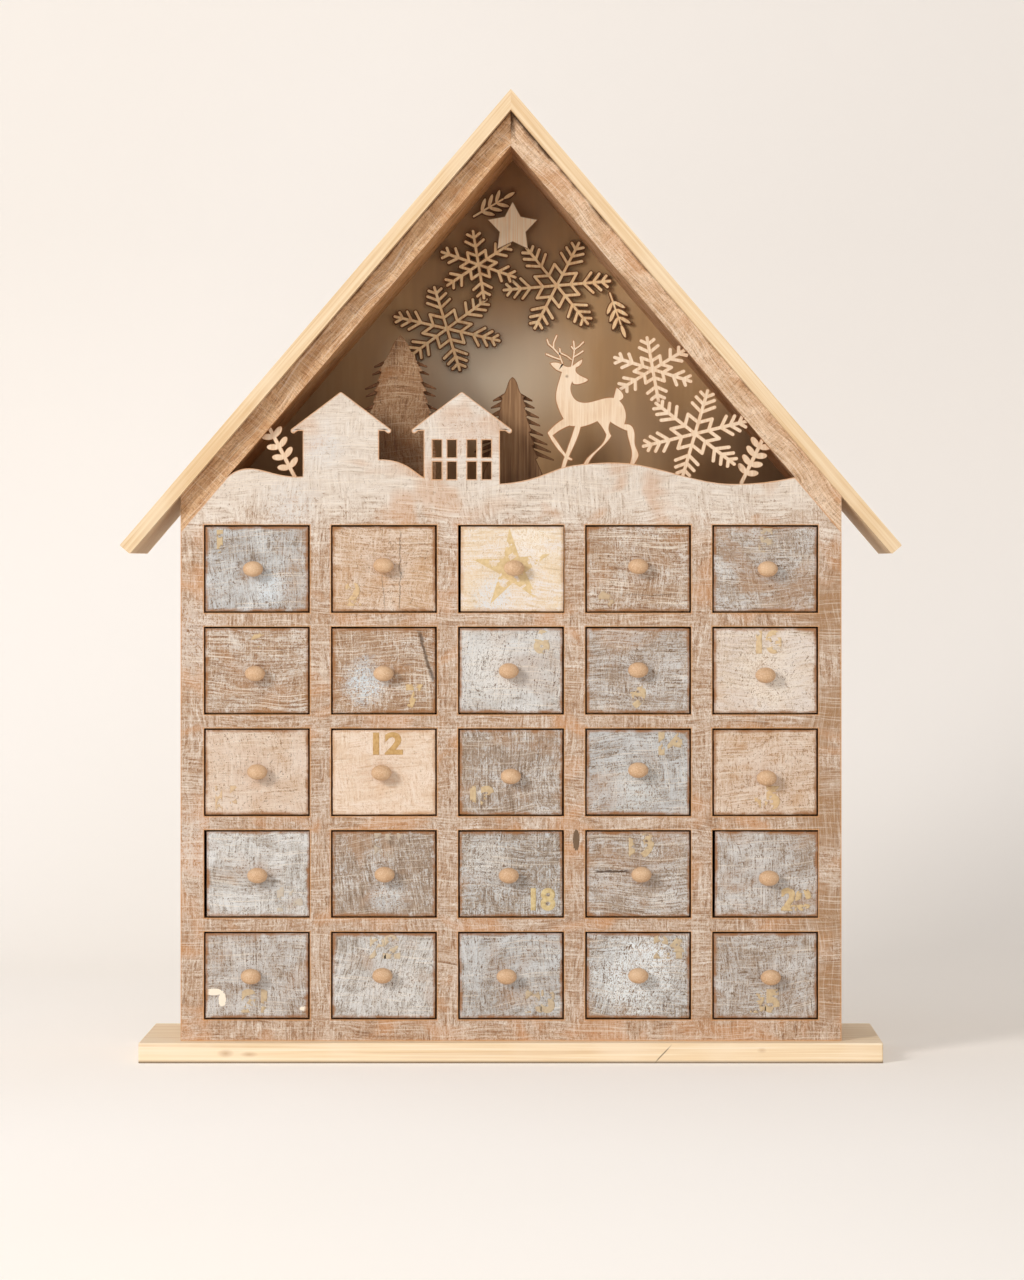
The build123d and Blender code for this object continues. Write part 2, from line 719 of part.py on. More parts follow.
def build_fir(name, place_share, height, half_width, setback, crown_shares, tier_shares, branch_shares):
    axis_x = place_share * body_half
    top_z = deck_z + height
    front_face_y = inner_front_y + setback

    def on_fir(side, width_share, depth_share):
        return (axis_x + side * width_share * half_width, top_z - depth_share * height)

    with BuildPart() as fir:
        with BuildSketch(upright(front_face_y + ply)):
            for side in (-1, 1):
                edge = []
                for notch_width, notch_depth, tip_width, tip_depth in tier_shares:
                    edge.append(on_fir(side, notch_width, notch_depth))
                    edge.append(on_fir(side, tip_width, tip_depth))
                with BuildLine():
                    Spline(on_fir(side, 0, 0), *[on_fir(side, *spot) for spot in crown_shares])
                    Polyline(
                        on_fir(side, *crown_shares[-1]), *edge, (edge[-1][0], deck_z), (axis_x, deck_z),
                        on_fir(side, 0, 0),
                    )
                make_face()
        extrude(amount=ply)
    save(fir.part, name)

    with BuildPart() as rear:
        with BuildSketch(upright(front_face_y + 2 * ply)):
            first_width_share, first_depth_share = branch_shares[0]
            first_rise = first_width_share * half_width * tan(radians(fir_branch_droop))
            trunk_height = height * (1 - first_depth_share) + first_rise
            with Locations((axis_x, deck_z)):
                Rectangle(fir_trunk_width, trunk_height, align=(Align.CENTER, Align.MIN))
            for width_share, depth_share in branch_shares:
                rise = width_share * half_width * tan(radians(fir_branch_droop))
                for side in (-1, 1):
                    tip_x, tip_z = on_fir(side, width_share, depth_share)
                    with BuildLine():
                        Polyline(
                            (axis_x, tip_z + rise + fir_branch_width / 2), (tip_x, tip_z + fir_branch_tip / 2),
                            (tip_x, tip_z - fir_branch_tip / 2), (axis_x, tip_z + rise - fir_branch_width / 2),
                            close=True,
                        )
                    make_face()
        extrude(amount=ply)
    save(rear.part, name + "_rear")


# Two firs of two layers each, standing on the deck
build_fir(
    "fir_left", left_fir_place_share, left_fir_height, left_fir_half_width, left_fir_setback,
    left_fir_crown_shares, left_fir_tier_shares, left_fir_branch_shares,
)
build_fir(
    "fir_right", right_fir_place_share, right_fir_height, right_fir_half_width, right_fir_setback,
    right_fir_crown_shares, right_fir_tier_shares, right_fir_branch_shares,
)

# Snowflakes on the back panel: two flat on it, one laid over both
for name, layer, place_share, radius, flatten_share, turn, barb_shares in (
    ("snowflake_back_left", 0, back_left_place_share, back_left_radius, back_left_flatten_share,
     back_left_turn, large_barb_shares),
    ("snowflake_back_right", 0, back_right_place_share, back_right_radius, back_right_flatten_share,
     back_right_turn, large_barb_shares),
    ("snowflake_back_top", 1, back_top_place_share, back_top_radius, back_top_flatten_share,
     back_top_turn, small_barb_shares),
):
    with BuildPart() as back_flake:
        with BuildSketch(upright(inner_back_y - layer * ply)):
            snowflake(in_niche(place_share), radius, flatten_share, turn, barb_shares, back_flake_strip)
            with BuildLine():
                niche_outline()
            make_face(mode=Mode.INTERSECT)
        extrude(amount=ply)
    save(back_flake.part, name)

# Sprigs on the back panel
for name, base_share, tip_share in (
    ("sprig_back_right", back_right_sprig_base_share, back_right_sprig_tip_share),
    ("sprig_back_top", back_top_sprig_base_share, back_top_sprig_tip_share),
):
    with BuildPart() as back_sprig:
        with BuildSketch(upright(inner_back_y)):
            sprig(
                in_niche(base_share), in_niche(tip_share), back_sprig_pairs, back_sprig_leaf_length,
                back_sprig_leaf_width, back_sprig_lean,
            )
            with BuildLine():
                niche_outline()
            make_face(mode=Mode.INTERSECT)
        extrude(amount=ply)
    save(back_sprig.part, name)

# Star, glued on the top snowflake
star_center = Vector(in_niche(star_place_share))
star_points = []
for point in range(10):
    star_reach = star_radius * (star_waist_share if point % 2 else 1)
    star_angle = radians(90 + 36 * point)
    star_points.append(star_center + Vector(cos(star_angle), sin(star_angle)) * star_reach)
with BuildPart() as star:
    with BuildSketch(upright(inner_back_y - 2 * ply)):
        with BuildLine():
            Polyline(*star_points, close=True)
        make_face()
    extrude(amount=ply)
save(star.part, "star")
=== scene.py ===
import math
import random

import bpy
from mathutils import Matrix, Vector, noise


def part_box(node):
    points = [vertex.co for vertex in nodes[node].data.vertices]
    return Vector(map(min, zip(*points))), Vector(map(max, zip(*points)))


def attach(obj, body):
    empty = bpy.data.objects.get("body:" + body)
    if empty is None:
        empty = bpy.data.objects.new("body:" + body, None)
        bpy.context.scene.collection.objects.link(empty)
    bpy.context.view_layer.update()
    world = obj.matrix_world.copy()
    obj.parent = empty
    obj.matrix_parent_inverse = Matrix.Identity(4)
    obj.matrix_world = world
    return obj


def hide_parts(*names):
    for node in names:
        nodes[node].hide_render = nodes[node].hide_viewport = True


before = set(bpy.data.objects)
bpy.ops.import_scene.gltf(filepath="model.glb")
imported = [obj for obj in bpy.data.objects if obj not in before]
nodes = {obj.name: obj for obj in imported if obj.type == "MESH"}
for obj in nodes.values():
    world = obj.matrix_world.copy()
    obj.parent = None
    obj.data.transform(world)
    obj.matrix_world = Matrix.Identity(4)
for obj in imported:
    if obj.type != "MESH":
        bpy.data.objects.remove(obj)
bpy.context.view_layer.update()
mm = 0.001
touching = 0.01 * mm  # corners nearer than this share a line
smoothBelow = math.radians(30)  # flatter edges are shaded smooth
rgba = {"data_type": "RGBA"}  # a Mix node for colours
print("frame loaded with", len(nodes), "nodes")


def hexColour(code):
    # sRGB hex to the linear colour that sockets take
    parts = [int(code[i:i + 2], 16) / 255 for i in (1, 3, 5)]
    return [p / 12.92 if p <= 0.04045 else ((p + 0.055) / 1.055) ** 2.4 for p in parts] + [1]


def addNode(tree, kind, settings, *links):
    # whole-number keys and socket names set inputs, "stops" fills a ramp, the rest are node settings
    node = tree.nodes.new("ShaderNode" + kind)
    for key, value in settings.items():
        if key == "stops":
            ramp = node.color_ramp.elements
            while len(ramp) < len(value):
                ramp.new(1)
            for stop, (place, colour) in zip(ramp, value):
                stop.position = place
                stop.color = hexColour(colour)
        elif isinstance(key, int) or key in node.inputs:
            node.inputs[key].default_value = value
        else:
            setattr(node, key, value)
    for source, socket in links:
        tree.links.new(source, node.inputs[socket])
    return node


def newMaterial(name):
    material = bpy.data.materials.new(name)
    material.use_nodes = True
    return material, material.node_tree, material.node_tree.nodes["Principled BSDF"]


def only(piece):
    bpy.ops.object.select_all(action="DESELECT")
    piece.select_set(True)
    bpy.context.view_layer.objects.active = piece


def dress(piece, material):
    piece.data.materials.clear()
    piece.data.materials.append(material)


# camera at the photograph's stand: level, a little right of the middle, far back
camera = {"place": (0.025, -2.150, 0.236), "lens": 126.0, "shift": (-0.0406, -0.0617), "farthest": 20}
bpy.ops.object.camera_add(location=camera["place"], rotation=(math.radians(90), 0, 0))
cameraObject = bpy.context.object
cameraObject.data.lens = camera["lens"]
cameraObject.data.shift_x, cameraObject.data.shift_y = camera["shift"]
cameraObject.data.clip_end = camera["farthest"]
scene = bpy.context.scene
scene.camera = cameraObject
scene.view_settings.view_transform = "Standard"
print("camera set")

# cream paper sweep under and behind the house, with a painted glow that makes it a little brighter low down and to the
# left
sweep = {
    "size": (7.0, 4.2), "middleY": -1.35, "rise": 3.2, "bend": 0.32, "bendSteps": 16,
    "colour": "#F4EFEA", "shade": "#EFE9E2", "cloud": 1.6, "dull": 0.95, "shine": 0.1,
    "glow": (0.26, 0.12), "glowHeights": (0, 0.45), "dim": (1, 0.55), "dimPlaces": (-0.1, 0.5),
}
bpy.ops.object.select_all(action="DESELECT")
bpy.ops.mesh.primitive_plane_add(size=1, location=(0, sweep["middleY"], 0))
paper = bpy.context.object
paper.name = "paper_sweep"
paper.scale = (*sweep["size"], 1)
bpy.ops.object.transform_apply(location=True, scale=True)
backY = sweep["middleY"] + sweep["size"][1] / 2
bpy.ops.object.mode_set(mode="EDIT")
bpy.ops.mesh.select_all(action="DESELECT")
bpy.ops.object.mode_set(mode="OBJECT")
for edge in paper.data.edges:
    edge.select = all(abs(paper.data.vertices[v].co.y - backY) < touching for v in edge.vertices)
bpy.ops.object.mode_set(mode="EDIT")
bpy.ops.mesh.select_mode(type="EDGE")
bpy.ops.mesh.extrude_region_move(TRANSFORM_OT_translate={"value": (0, 0, sweep["rise"])})
bpy.ops.object.mode_set(mode="OBJECT")
for edge in paper.data.edges:
    ends = [paper.data.vertices[v].co for v in edge.vertices]
    edge.select = all(abs(p.y - backY) < touching and abs(p.z) < touching for p in ends)
bpy.ops.object.mode_set(mode="EDIT")
bpy.ops.mesh.bevel(offset=sweep["bend"], segments=sweep["bendSteps"], profile=0.5)
bpy.ops.object.mode_set(mode="OBJECT")
bpy.ops.object.shade_smooth()
# matt paper: one soft tone with a very slight cloud
paperMaterial, tree, shader = newMaterial("matt_paper")
spot = addNode(tree, "TexCoord", {}).outputs["Object"]
cloud = addNode(tree, "TexNoise", {"Scale": sweep["cloud"], "Detail": 1}, (spot, "Vector")).outputs["Fac"]
stops = [(0.35, sweep["shade"]), (0.65, sweep["colour"])]
tone = addNode(tree, "ValToRGB", {"stops": stops}, (cloud, "Fac")).outputs[0]
tree.links.new(tone, shader.inputs["Base Color"])
path = addNode(tree, "LightPath", {}).outputs
seen = path["Is Camera Ray"]
for ray in ("Is Glossy Ray", "Is Transmission Ray"):
    seen = addNode(tree, "Math", {"operation": "MAXIMUM"}, (seen, 0), (path[ray], 1)).outputs[0]
place = addNode(tree, "SeparateXYZ", {}, (spot, 0)).outputs
# painted light: the camera sees a glow that is stronger low down and weaker to the right
glow = seen
for axis, places, shares in ((2, sweep["glowHeights"], sweep["glow"]), (0, sweep["dimPlaces"], sweep["dim"])):
    settings = {1: places[0], 2: places[1], 3: shares[0], 4: shares[1]}
    share = addNode(tree, "MapRange", settings, (place[axis], 0)).outputs[0]
    glow = addNode(tree, "Math", {"operation": "MULTIPLY"}, (glow, 0), (share, 1)).outputs[0]
tree.links.new(glow, shader.inputs["Emission Strength"])
tree.links.new(tone, shader.inputs["Emission Color"])
shader.inputs["Roughness"].default_value = sweep["dull"]
shader.inputs["Specular IOR Level"].default_value = sweep["shine"]
# a camera that stands behind the paper looks through it
rear = addNode(tree, "NewGeometry", {}).outputs["Backfacing"]
rear = addNode(tree, "Math", {"operation": "MULTIPLY"}, (rear, 0), (path["Is Camera Ray"], 1)).outputs[0]
clear = addNode(tree, "BsdfTransparent", {}).outputs[0]
surface = addNode(tree, "MixShader", {}, (rear, 0), (shader.outputs[0], 1), (clear, 2)).outputs[0]
tree.links.new(surface, tree.nodes["Material Output"].inputs["Surface"])
dress(paper, paperMaterial)

# soft warm daylight from the upper left, with an even fill
lamps = {
    "daylight": {"place": (-1.45, -1.85, 1.12), "size": 0.6, "power": 33, "colour": "#FFFCF9"},
    "front_bounce": {"place": (-0.1, -2.7, 0.7), "size": 1.9, "power": 12, "colour": "#FFFEFD"},
    "side_bounce": {"place": (1.5, -1.25, 0.12), "size": 1.0, "power": 6, "colour": "#FFF6EA"},
}
fill = {"colour": "#FFFFFF", "strength": 0.38}
aim = Vector((0, -0.03, 0.24))  # the middle of the front
for name, lampLook in lamps.items():
    bpy.ops.object.light_add(type="AREA", location=lampLook["place"])
    lamp = bpy.context.object
    lamp.name = name
    lamp.data.energy = lampLook["power"]
    lamp.data.size = lampLook["size"]
    lamp.data.color = hexColour(lampLook["colour"])[:3]
    lamp.rotation_euler = (aim - lamp.location).to_track_quat("-Z", "Y").to_euler()
world = bpy.data.worlds.new("room_fill")
scene.world = world
world.use_nodes = True
roomLight = world.node_tree.nodes["Background"]
roomLight.inputs["Color"].default_value = hexColour(fill["colour"])
roomLight.inputs["Strength"].default_value = fill["strength"]
print("stage and light set")


def grainField(tree, spot, size, detail, fineness, curl=0):
    # noise stretched to a size in millimetres along, into and up the board
    stretched = addNode(tree, "Mapping", {"Scale": [1 / (part * mm) for part in size]}, (spot, "Vector")).outputs[0]
    settings = {"Scale": 1, "Detail": detail, "Roughness": fineness, "Distortion": curl}
    return addNode(tree, "TexNoise", settings, (stretched, "Vector")).outputs["Fac"]


def layTones(tree, colour, fields, layers):
    # each layer: its field, where the tone starts and where it is full, its strength, the tone
    for key, start, full, strength, tone in layers:
        share = addNode(tree, "MapRange", {1: start, 2: full, 4: strength}, (fields[key], 0)).outputs[0]
        colour = addNode(tree, "Mix", {**rgba, 7: hexColour(tone)}, (share, 0), (colour, 6)).outputs[2]
    return colour


def awayFrom(tree, spot, mark):
    # distance from the middle of a mark, squeezed to make the mark oval
    away = addNode(tree, "VectorMath", {"operation": "SUBTRACT", 1: mark["middle"]}, (spot, 0)).outputs[0]
    away = addNode(tree, "VectorMath", {"operation": "MULTIPLY", 1: mark["squeeze"]}, (away, 0)).outputs[0]
    return addNode(tree, "VectorMath", {"operation": "LENGTH"}, (away, 0)).outputs["Value"]


def scorchRim(tree, colour, wander, look):
    # cut edges browned by saw or laser, fading a frayed little way onto the face; on the gables and the back cut-outs
    # the dark rim is partly painted shade
    rim = addNode(tree, "Attribute", {"attribute_name": "rim"}).outputs["Fac"]
    fray = {"operation": "MULTIPLY_ADD", 1: -look["fray"], 2: look["fray"] / 2}
    eaten = addNode(tree, "Math", fray, (wander, 0)).outputs[0]
    share = addNode(tree, "Math", {"operation": "ADD"}, (rim, 0), (eaten, 1)).outputs[0]
    settings = {1: look["scorchFrom"], 2: look["scorchTo"], 4: look["scorch"]}
    share = addNode(tree, "MapRange", settings, (share, 0)).outputs[0]
    return addNode(tree, "Mix", {**rgba, 7: hexColour(look["scorchTone"])}, (share, 0), (colour, 6)).outputs[2]


splitLook = {
    "tone": "#4A3626", "sway": 5 * mm, "core": 0.3, "start": 1 * mm, "fade": 3 * mm, "deep": (14 * mm, 8 * mm),
}


def splitWood(tree, spot, wander, colour, cracks):
    # thin dark splits: where each starts, its lean and its length
    for crack in cracks:
        place = addNode(tree, "SeparateXYZ", {}, (spot, 0)).outputs
        along, aside = (2, 0) if crack["way"] == "up" else (0, 2)
        start, width, length = crack["start"], crack["width"], crack["length"]
        run = addNode(tree, "Math", {"operation": "SUBTRACT", 1: start[along]}, (place[along], 0)).outputs[0]
        drift = addNode(tree, "Math", {"operation": "MULTIPLY", 1: crack["lean"]}, (run, 0)).outputs[0]
        sway = {"operation": "MULTIPLY_ADD", 1: splitLook["sway"], 2: -splitLook["sway"] / 2}
        sway = addNode(tree, "Math", sway, (wander, 0)).outputs[0]
        drift = addNode(tree, "Math", {"operation": "ADD"}, (drift, 0), (sway, 1)).outputs[0]
        gap = addNode(tree, "Math", {"operation": "SUBTRACT", 1: start[aside]}, (place[aside], 0)).outputs[0]
        gap = addNode(tree, "Math", {"operation": "SUBTRACT"}, (gap, 0), (drift, 1)).outputs[0]
        gap = addNode(tree, "Math", {"operation": "ABSOLUTE"}, (gap, 0)).outputs[0]
        settings = {1: width, 2: width * splitLook["core"], 4: crack["depth"]}
        line = addNode(tree, "MapRange", settings, (gap, 0)).outputs[0]
        limits = (  # it opens at its start, closes at its end and stays near the front
            (run, -splitLook["start"], splitLook["start"]),
            (run, length, length - splitLook["fade"]),
            (place[1], start[1] + splitLook["deep"][0], start[1] + splitLook["deep"][1]),
        )
        for value, none, full in limits:
            limit = addNode(tree, "MapRange", {1: none, 2: full}, (value, 0)).outputs[0]
            line = addNode(tree, "Math", {"operation": "MULTIPLY"}, (line, 0), (limit, 1)).outputs[0]
        colour = addNode(tree, "Mix", {**rgba, 7: hexColour(splitLook["tone"])}, (line, 0), (colour, 6)).outputs[2]
    return colour


# what washed wood has where a finish says nothing else
washBase = {
    "offset": (0, 0, 0), "turn": 0, "spin": 0, "grain": 1, "driftSize": 40 * mm, "drift": 5 * mm,
    "along": 0.9, "up": 0.9, "patch": 0.55, "soft": 0.036, "warmth": 0.5, "streaks": 0.4,
    "scratch": 0.4, "scratchTone": "#EFE3D3", "pores": 1, "poreTone": "#5A4230",
    "fray": 2, "scorch": 0.85, "scorchFrom": 0.35, "scorchTo": 1.15, "scorchTone": "#8A5B34",
    "splashes": (), "cracks": (), "chips": (), "underLightShare": 0.5, "fineness": 0.72,
    "dull": (0.72, 0.92), "shine": 0.25, "bump": 0.85, "relief": 0.35 * mm,
}
washFields = (  # sizes along, into and up the board in millimetres, then detail and curl
    ("along", (13, 5, 0.9), 5, 0.5), ("up", (0.9, 5, 9), 5, 0.5), ("speck", (1.1, 1.1, 1.6), 3, 1.8),
    ("patch", (15, 15, 10), 4, 0.5), ("warmth", (30, 24, 24), 2, 0.5), ("scratch", (34, 9, 0.5), 1, 0.5),
    ("nick", (0.5, 9, 20), 1, 0.5), ("lead", (17, 17, 14), 2, 0.5),
)


def washedWood(name, finish):
    # sawn softwood, scorched along its edges, brushed with thin white stain and sanded back:
    # brown wood shows through broken streaks of stain, with dark pores and pale scratches, dull all over
    look = {**washBase, **finish}
    material, tree, shader = newMaterial(name)
    spot = addNode(tree, "TexCoord", {}).outputs["Object"]
    settings = {"Location": look["offset"], "Rotation": (0, look["turn"], look["spin"])}
    turned = addNode(tree, "Mapping", settings, (spot, "Vector")).outputs[0]
    settings = {"Scale": 1 / look["driftSize"], "Detail": 1}
    drift = addNode(tree, "TexNoise", settings, (turned, "Vector")).outputs["Color"]
    settings = {"operation": "MULTIPLY_ADD", 1: (2 * look["drift"],) * 3, 2: (-look["drift"],) * 3}
    drift = addNode(tree, "VectorMath", settings, (drift, 0)).outputs[0]
    turned = addNode(tree, "VectorMath", {"operation": "ADD"}, (turned, 0), (drift, 1)).outputs[0]
    fields = {}
    for key, size, detail, curl in washFields:
        size = [part * look["grain"] for part in size]
        fields[key] = grainField(tree, turned, size, detail, look["fineness"], curl)
    # the brush went along the board in some places and across it in others
    lean = 0.16 * (look["up"] - look["along"])
    crossed = addNode(tree, "MapRange", {1: 0.45 - lean, 2: 0.55 - lean}, (fields["lead"], 0)).outputs[0]
    fields["brush"] = addNode(tree, "Mix", {}, (crossed, 0), (fields["along"], 2), (fields["up"], 3)).outputs[0]
    weights = {"brush": 1.1, "speck": 1.3, "patch": look["patch"]}
    total = None
    for key, weight in weights.items():
        share = {"operation": "MULTIPLY", 1: weight / sum(weights.values())}
        part = addNode(tree, "Math", share, (fields[key], 0)).outputs[0]
        if total is not None:
            part = addNode(tree, "Math", {"operation": "ADD"}, (total, 0), (part, 1)).outputs[0]
        total = part
    if "rise" in look:  # more stain towards the top of the board
        height = addNode(tree, "SeparateXYZ", {}, (spot, 0)).outputs[2]
        low, high, gain = look["rise"]
        lift = addNode(tree, "MapRange", {1: low, 2: high, 4: gain}, (height, 0)).outputs[0]
        total = addNode(tree, "Math", {"operation": "ADD"}, (total, 0), (lift, 1)).outputs[0]
    level = 0.5 + (0.5 - look["cover"]) * 0.22  # the noise keeps close to a half
    stain = addNode(tree, "MapRange", {1: level - look["soft"], 2: level + look["soft"]}, (total, 0)).outputs[0]
    stops = [(0.34, look["dark"]), (0.52, look["bare"])]
    wood = addNode(tree, "ValToRGB", {"stops": stops}, (fields["brush"], "Fac")).outputs[0]
    warm = addNode(tree, "MapRange", {1: 0.53, 2: 0.66, 4: look["warmth"]}, (fields["warmth"], 0)).outputs[0]
    wood = addNode(tree, "Mix", {**rgba, 7: hexColour(look["warm"])}, (warm, 0), (wood, 6)).outputs[2]
    streaked = addNode(tree, "Mix", {0: look["streaks"]}, (fields["patch"], 2), (fields["brush"], 3)).outputs[0]
    tint = addNode(tree, "MapRange", {1: 0.41, 2: 0.60}, (streaked, 0)).outputs[0]
    tones = {6: hexColour(look["stainLow"]), 7: hexColour(look["stain"])}
    stainTone = addNode(tree, "Mix", {**rgba, **tones}, (tint, 0)).outputs[2]
    colour = addNode(tree, "Mix", rgba, (stain, 0), (wood, 6), (stainTone, 7)).outputs[2]
    # the warm tone also shows through the stain
    warm = addNode(tree, "Math", {"operation": "MULTIPLY", 1: 0.7}, (warm, 0)).outputs[0]
    colour = addNode(tree, "Mix", {**rgba, 7: hexColour(look["warm"])}, (warm, 0), (colour, 6)).outputs[2]
    for patch in look["splashes"]:  # ragged patches where the stain lies thicker or darker
        radius = patch["radius"]
        away = addNode(tree, "VectorMath", {"operation": "DISTANCE", 1: patch["middle"]}, (spot, 0)).outputs["Value"]
        ragged = addNode(tree, "Math", {"operation": "MULTIPLY", 1: radius * 2.6}, (fields["patch"], 0)).outputs[0]
        reach = addNode(tree, "Math", {"operation": "ADD"}, (away, 0), (ragged, 1)).outputs[0]
        settings = {1: radius * 2.5, 2: radius * 1.75, 4: patch["amount"]}
        share = addNode(tree, "MapRange", settings, (reach, 0)).outputs[0]
        broken = addNode(tree, "MapRange", {1: 0.41, 2: 0.52}, (fields["speck"], 0)).outputs[0]
        share = addNode(tree, "Math", {"operation": "MULTIPLY"}, (share, 0), (broken, 1)).outputs[0]
        colour = addNode(tree, "Mix", {**rgba, 7: hexColour(patch["colour"])}, (share, 0), (colour, 6)).outputs[2]
    colour = layTones(tree, colour, fields, (
        ("scratch", 0.585, 0.635, look["scratch"], look["scratchTone"]),
        ("nick", 0.585, 0.635, look["scratch"] * 0.6, look["scratchTone"]),
        ("speck", 0.41, 0.33, look["pores"] * 0.8, look["poreTone"]),
        ("brush", 0.41, 0.33, look["pores"] * 0.35, look["poreTone"]),
    ))
    colour = splitWood(tree, spot, fields["patch"], colour, look["cracks"])
    for chip in look["chips"]:  # stain broken away down to the wood
        away = awayFrom(tree, spot, chip)
        jag = {"operation": "MULTIPLY_ADD", 1: 3 * mm, 2: -0.9 * mm}
        jag = addNode(tree, "Math", jag, (fields["speck"], 0)).outputs[0]
        away = addNode(tree, "Math", {"operation": "ADD"}, (away, 0), (jag, 1)).outputs[0]
        settings = {1: chip["radius"] + 0.75 * mm, 2: chip["radius"] + 0.55 * mm}
        share = addNode(tree, "MapRange", settings, (away, 0)).outputs[0]
        colour = addNode(tree, "Mix", {**rgba, 7: hexColour(chip["tone"])}, (share, 0), (colour, 6)).outputs[2]
    if "under" in look:  # painted light: faces turned down get a warmer tone of their own
        facing = addNode(tree, "NewGeometry", {}).outputs["True Normal"]
        facing = addNode(tree, "SeparateXYZ", {}, (facing, 0)).outputs[2]
        share = addNode(tree, "MapRange", {1: -0.3, 2: -0.5, 4: look["underLightShare"]}, (facing, 0)).outputs[0]
        colour = addNode(tree, "Mix", {**rgba, 7: hexColour(look["under"])}, (share, 0), (colour, 6)).outputs[2]
    colour = scorchRim(tree, colour, fields["patch"], look)
    tree.links.new(colour, shader.inputs["Base Color"])
    dull = addNode(tree, "MapRange", {3: look["dull"][0], 4: look["dull"][1]}, (stain, 0)).outputs[0]
    tree.links.new(dull, shader.inputs["Roughness"])
    shader.inputs["Specular IOR Level"].default_value = look["shine"]
    bump = addNode(tree, "Bump", {"Strength": look["bump"], "Distance": look["relief"]}, (total, "Height"))
    tree.links.new(bump.outputs[0], shader.inputs["Normal"])
    return material


# what planed wood has where a finish says nothing else
planedBase = {
    "offset": (0, 0, 0), "turn": (0, 0, 0), "spotsAndShade": (), "cracks": (), "fray": 0.5, "scorchTo": 1,
    "fineness": 0.6, "duller": 0.2, "shine": 0.3, "bump": 0.25, "relief": 0.15 * mm,
}


def planedWood(name, finish):
    # planed or laser-cut wood left bare: long fine growth lines, a few darker bands, browned cut edges
    look = {**planedBase, **finish}
    material, tree, shader = newMaterial(name)
    spot = addNode(tree, "TexCoord", {}).outputs["Object"]
    settings = {"Location": look["offset"], "Rotation": look["turn"]}
    turned = addNode(tree, "Mapping", settings, (spot, "Vector")).outputs[0]
    fields = {}
    for key, way, detail in (("fibre", look["way"], 3), ("band", look["way"], 2), ("cloud", (1, 1, 1), 2)):
        fields[key] = grainField(tree, turned, [part * look[key] for part in way], detail, look["fineness"])
    stops = [(0.36, look["dark"]), (0.52, look["bare"]), (0.66, look["pale"])]
    colour = addNode(tree, "ValToRGB", {"stops": stops}, (fields["fibre"], "Fac")).outputs[0]
    colour = layTones(tree, colour, fields, (
        ("band", 0.56, 0.68, look["bands"], look["bandTone"]),
        ("cloud", 0.48, 0.66, look["clouds"], look["cloudTone"]),
    ))
    # spots of their own tone: knots, the deer's eye and the backboard's bloom, and painted shadows where a finish
    # lists them
    for spotMark in look["spotsAndShade"]:
        away = awayFrom(tree, spot, spotMark)
        share = addNode(tree, "MapRange", {1: spotMark["radius"], 2: 0, 4: spotMark["depth"]}, (away, 0)).outputs[0]
        colour = addNode(tree, "Mix", {**rgba, 7: hexColour(spotMark["tone"])}, (share, 0), (colour, 6)).outputs[2]
    colour = splitWood(tree, spot, fields["cloud"], colour, look["cracks"])
    if "scorch" in look:
        colour = scorchRim(tree, colour, fields["cloud"], look)
    tree.links.new(colour, shader.inputs["Base Color"])
    settings = {1: 0.3, 2: 0.7, 3: look["gloss"], 4: look["gloss"] + look["duller"]}
    dull = addNode(tree, "MapRange", settings, (fields["fibre"], 0)).outputs[0]
    tree.links.new(dull, shader.inputs["Roughness"])
    shader.inputs["Specular IOR Level"].default_value = look["shine"]
    bump = addNode(tree, "Bump", {"Strength": look["bump"], "Distance": look["relief"]}, (fields["fibre"], "Height"))
    tree.links.new(bump.outputs[0], shader.inputs["Normal"])
    return material


forward, backward = -0.99, 0.9  # a face's normal along Y when it looks forward, or back


def markRim(piece, width):
    # a rim of this width round the front face, its outer corners marked 1 and all inside it 0
    mesh = piece.data
    bpy.ops.object.mode_set(mode="EDIT")
    bpy.ops.mesh.select_mode(type="FACE")
    bpy.ops.mesh.select_all(action="DESELECT")
    bpy.ops.object.mode_set(mode="OBJECT")
    for face in mesh.polygons:
        face.select = face.normal.y < forward
    bpy.ops.object.mode_set(mode="EDIT")
    bpy.ops.mesh.inset(thickness=width, use_boundary=True, use_even_offset=True)
    bpy.ops.object.mode_set(mode="OBJECT")
    marks = [0.0] * len(mesh.vertices)
    for face in mesh.polygons:
        if forward < face.normal.y < backward:
            for corner in face.vertices:
                marks[corner] = 1.0
    mesh.attributes.new("rim", "FLOAT", "POINT").data.foreach_set("value", marks)


def boardFrom(name, pieceName, rim):
    # a copy of a CAD board, merged, with a rim marked round its front face
    piece = bpy.data.objects.new(pieceName, nodes[name].data.copy())
    scene.collection.objects.link(piece)
    only(piece)
    bpy.ops.mesh.customdata_custom_splitnormals_clear()
    bpy.ops.object.mode_set(mode="EDIT")
    bpy.ops.mesh.select_all(action="SELECT")
    bpy.ops.mesh.remove_doubles(threshold=0.001 * mm)
    bpy.ops.object.mode_set(mode="OBJECT")
    markRim(piece, rim)
    bpy.ops.object.shade_smooth_by_angle(angle=smoothBelow)
    return piece


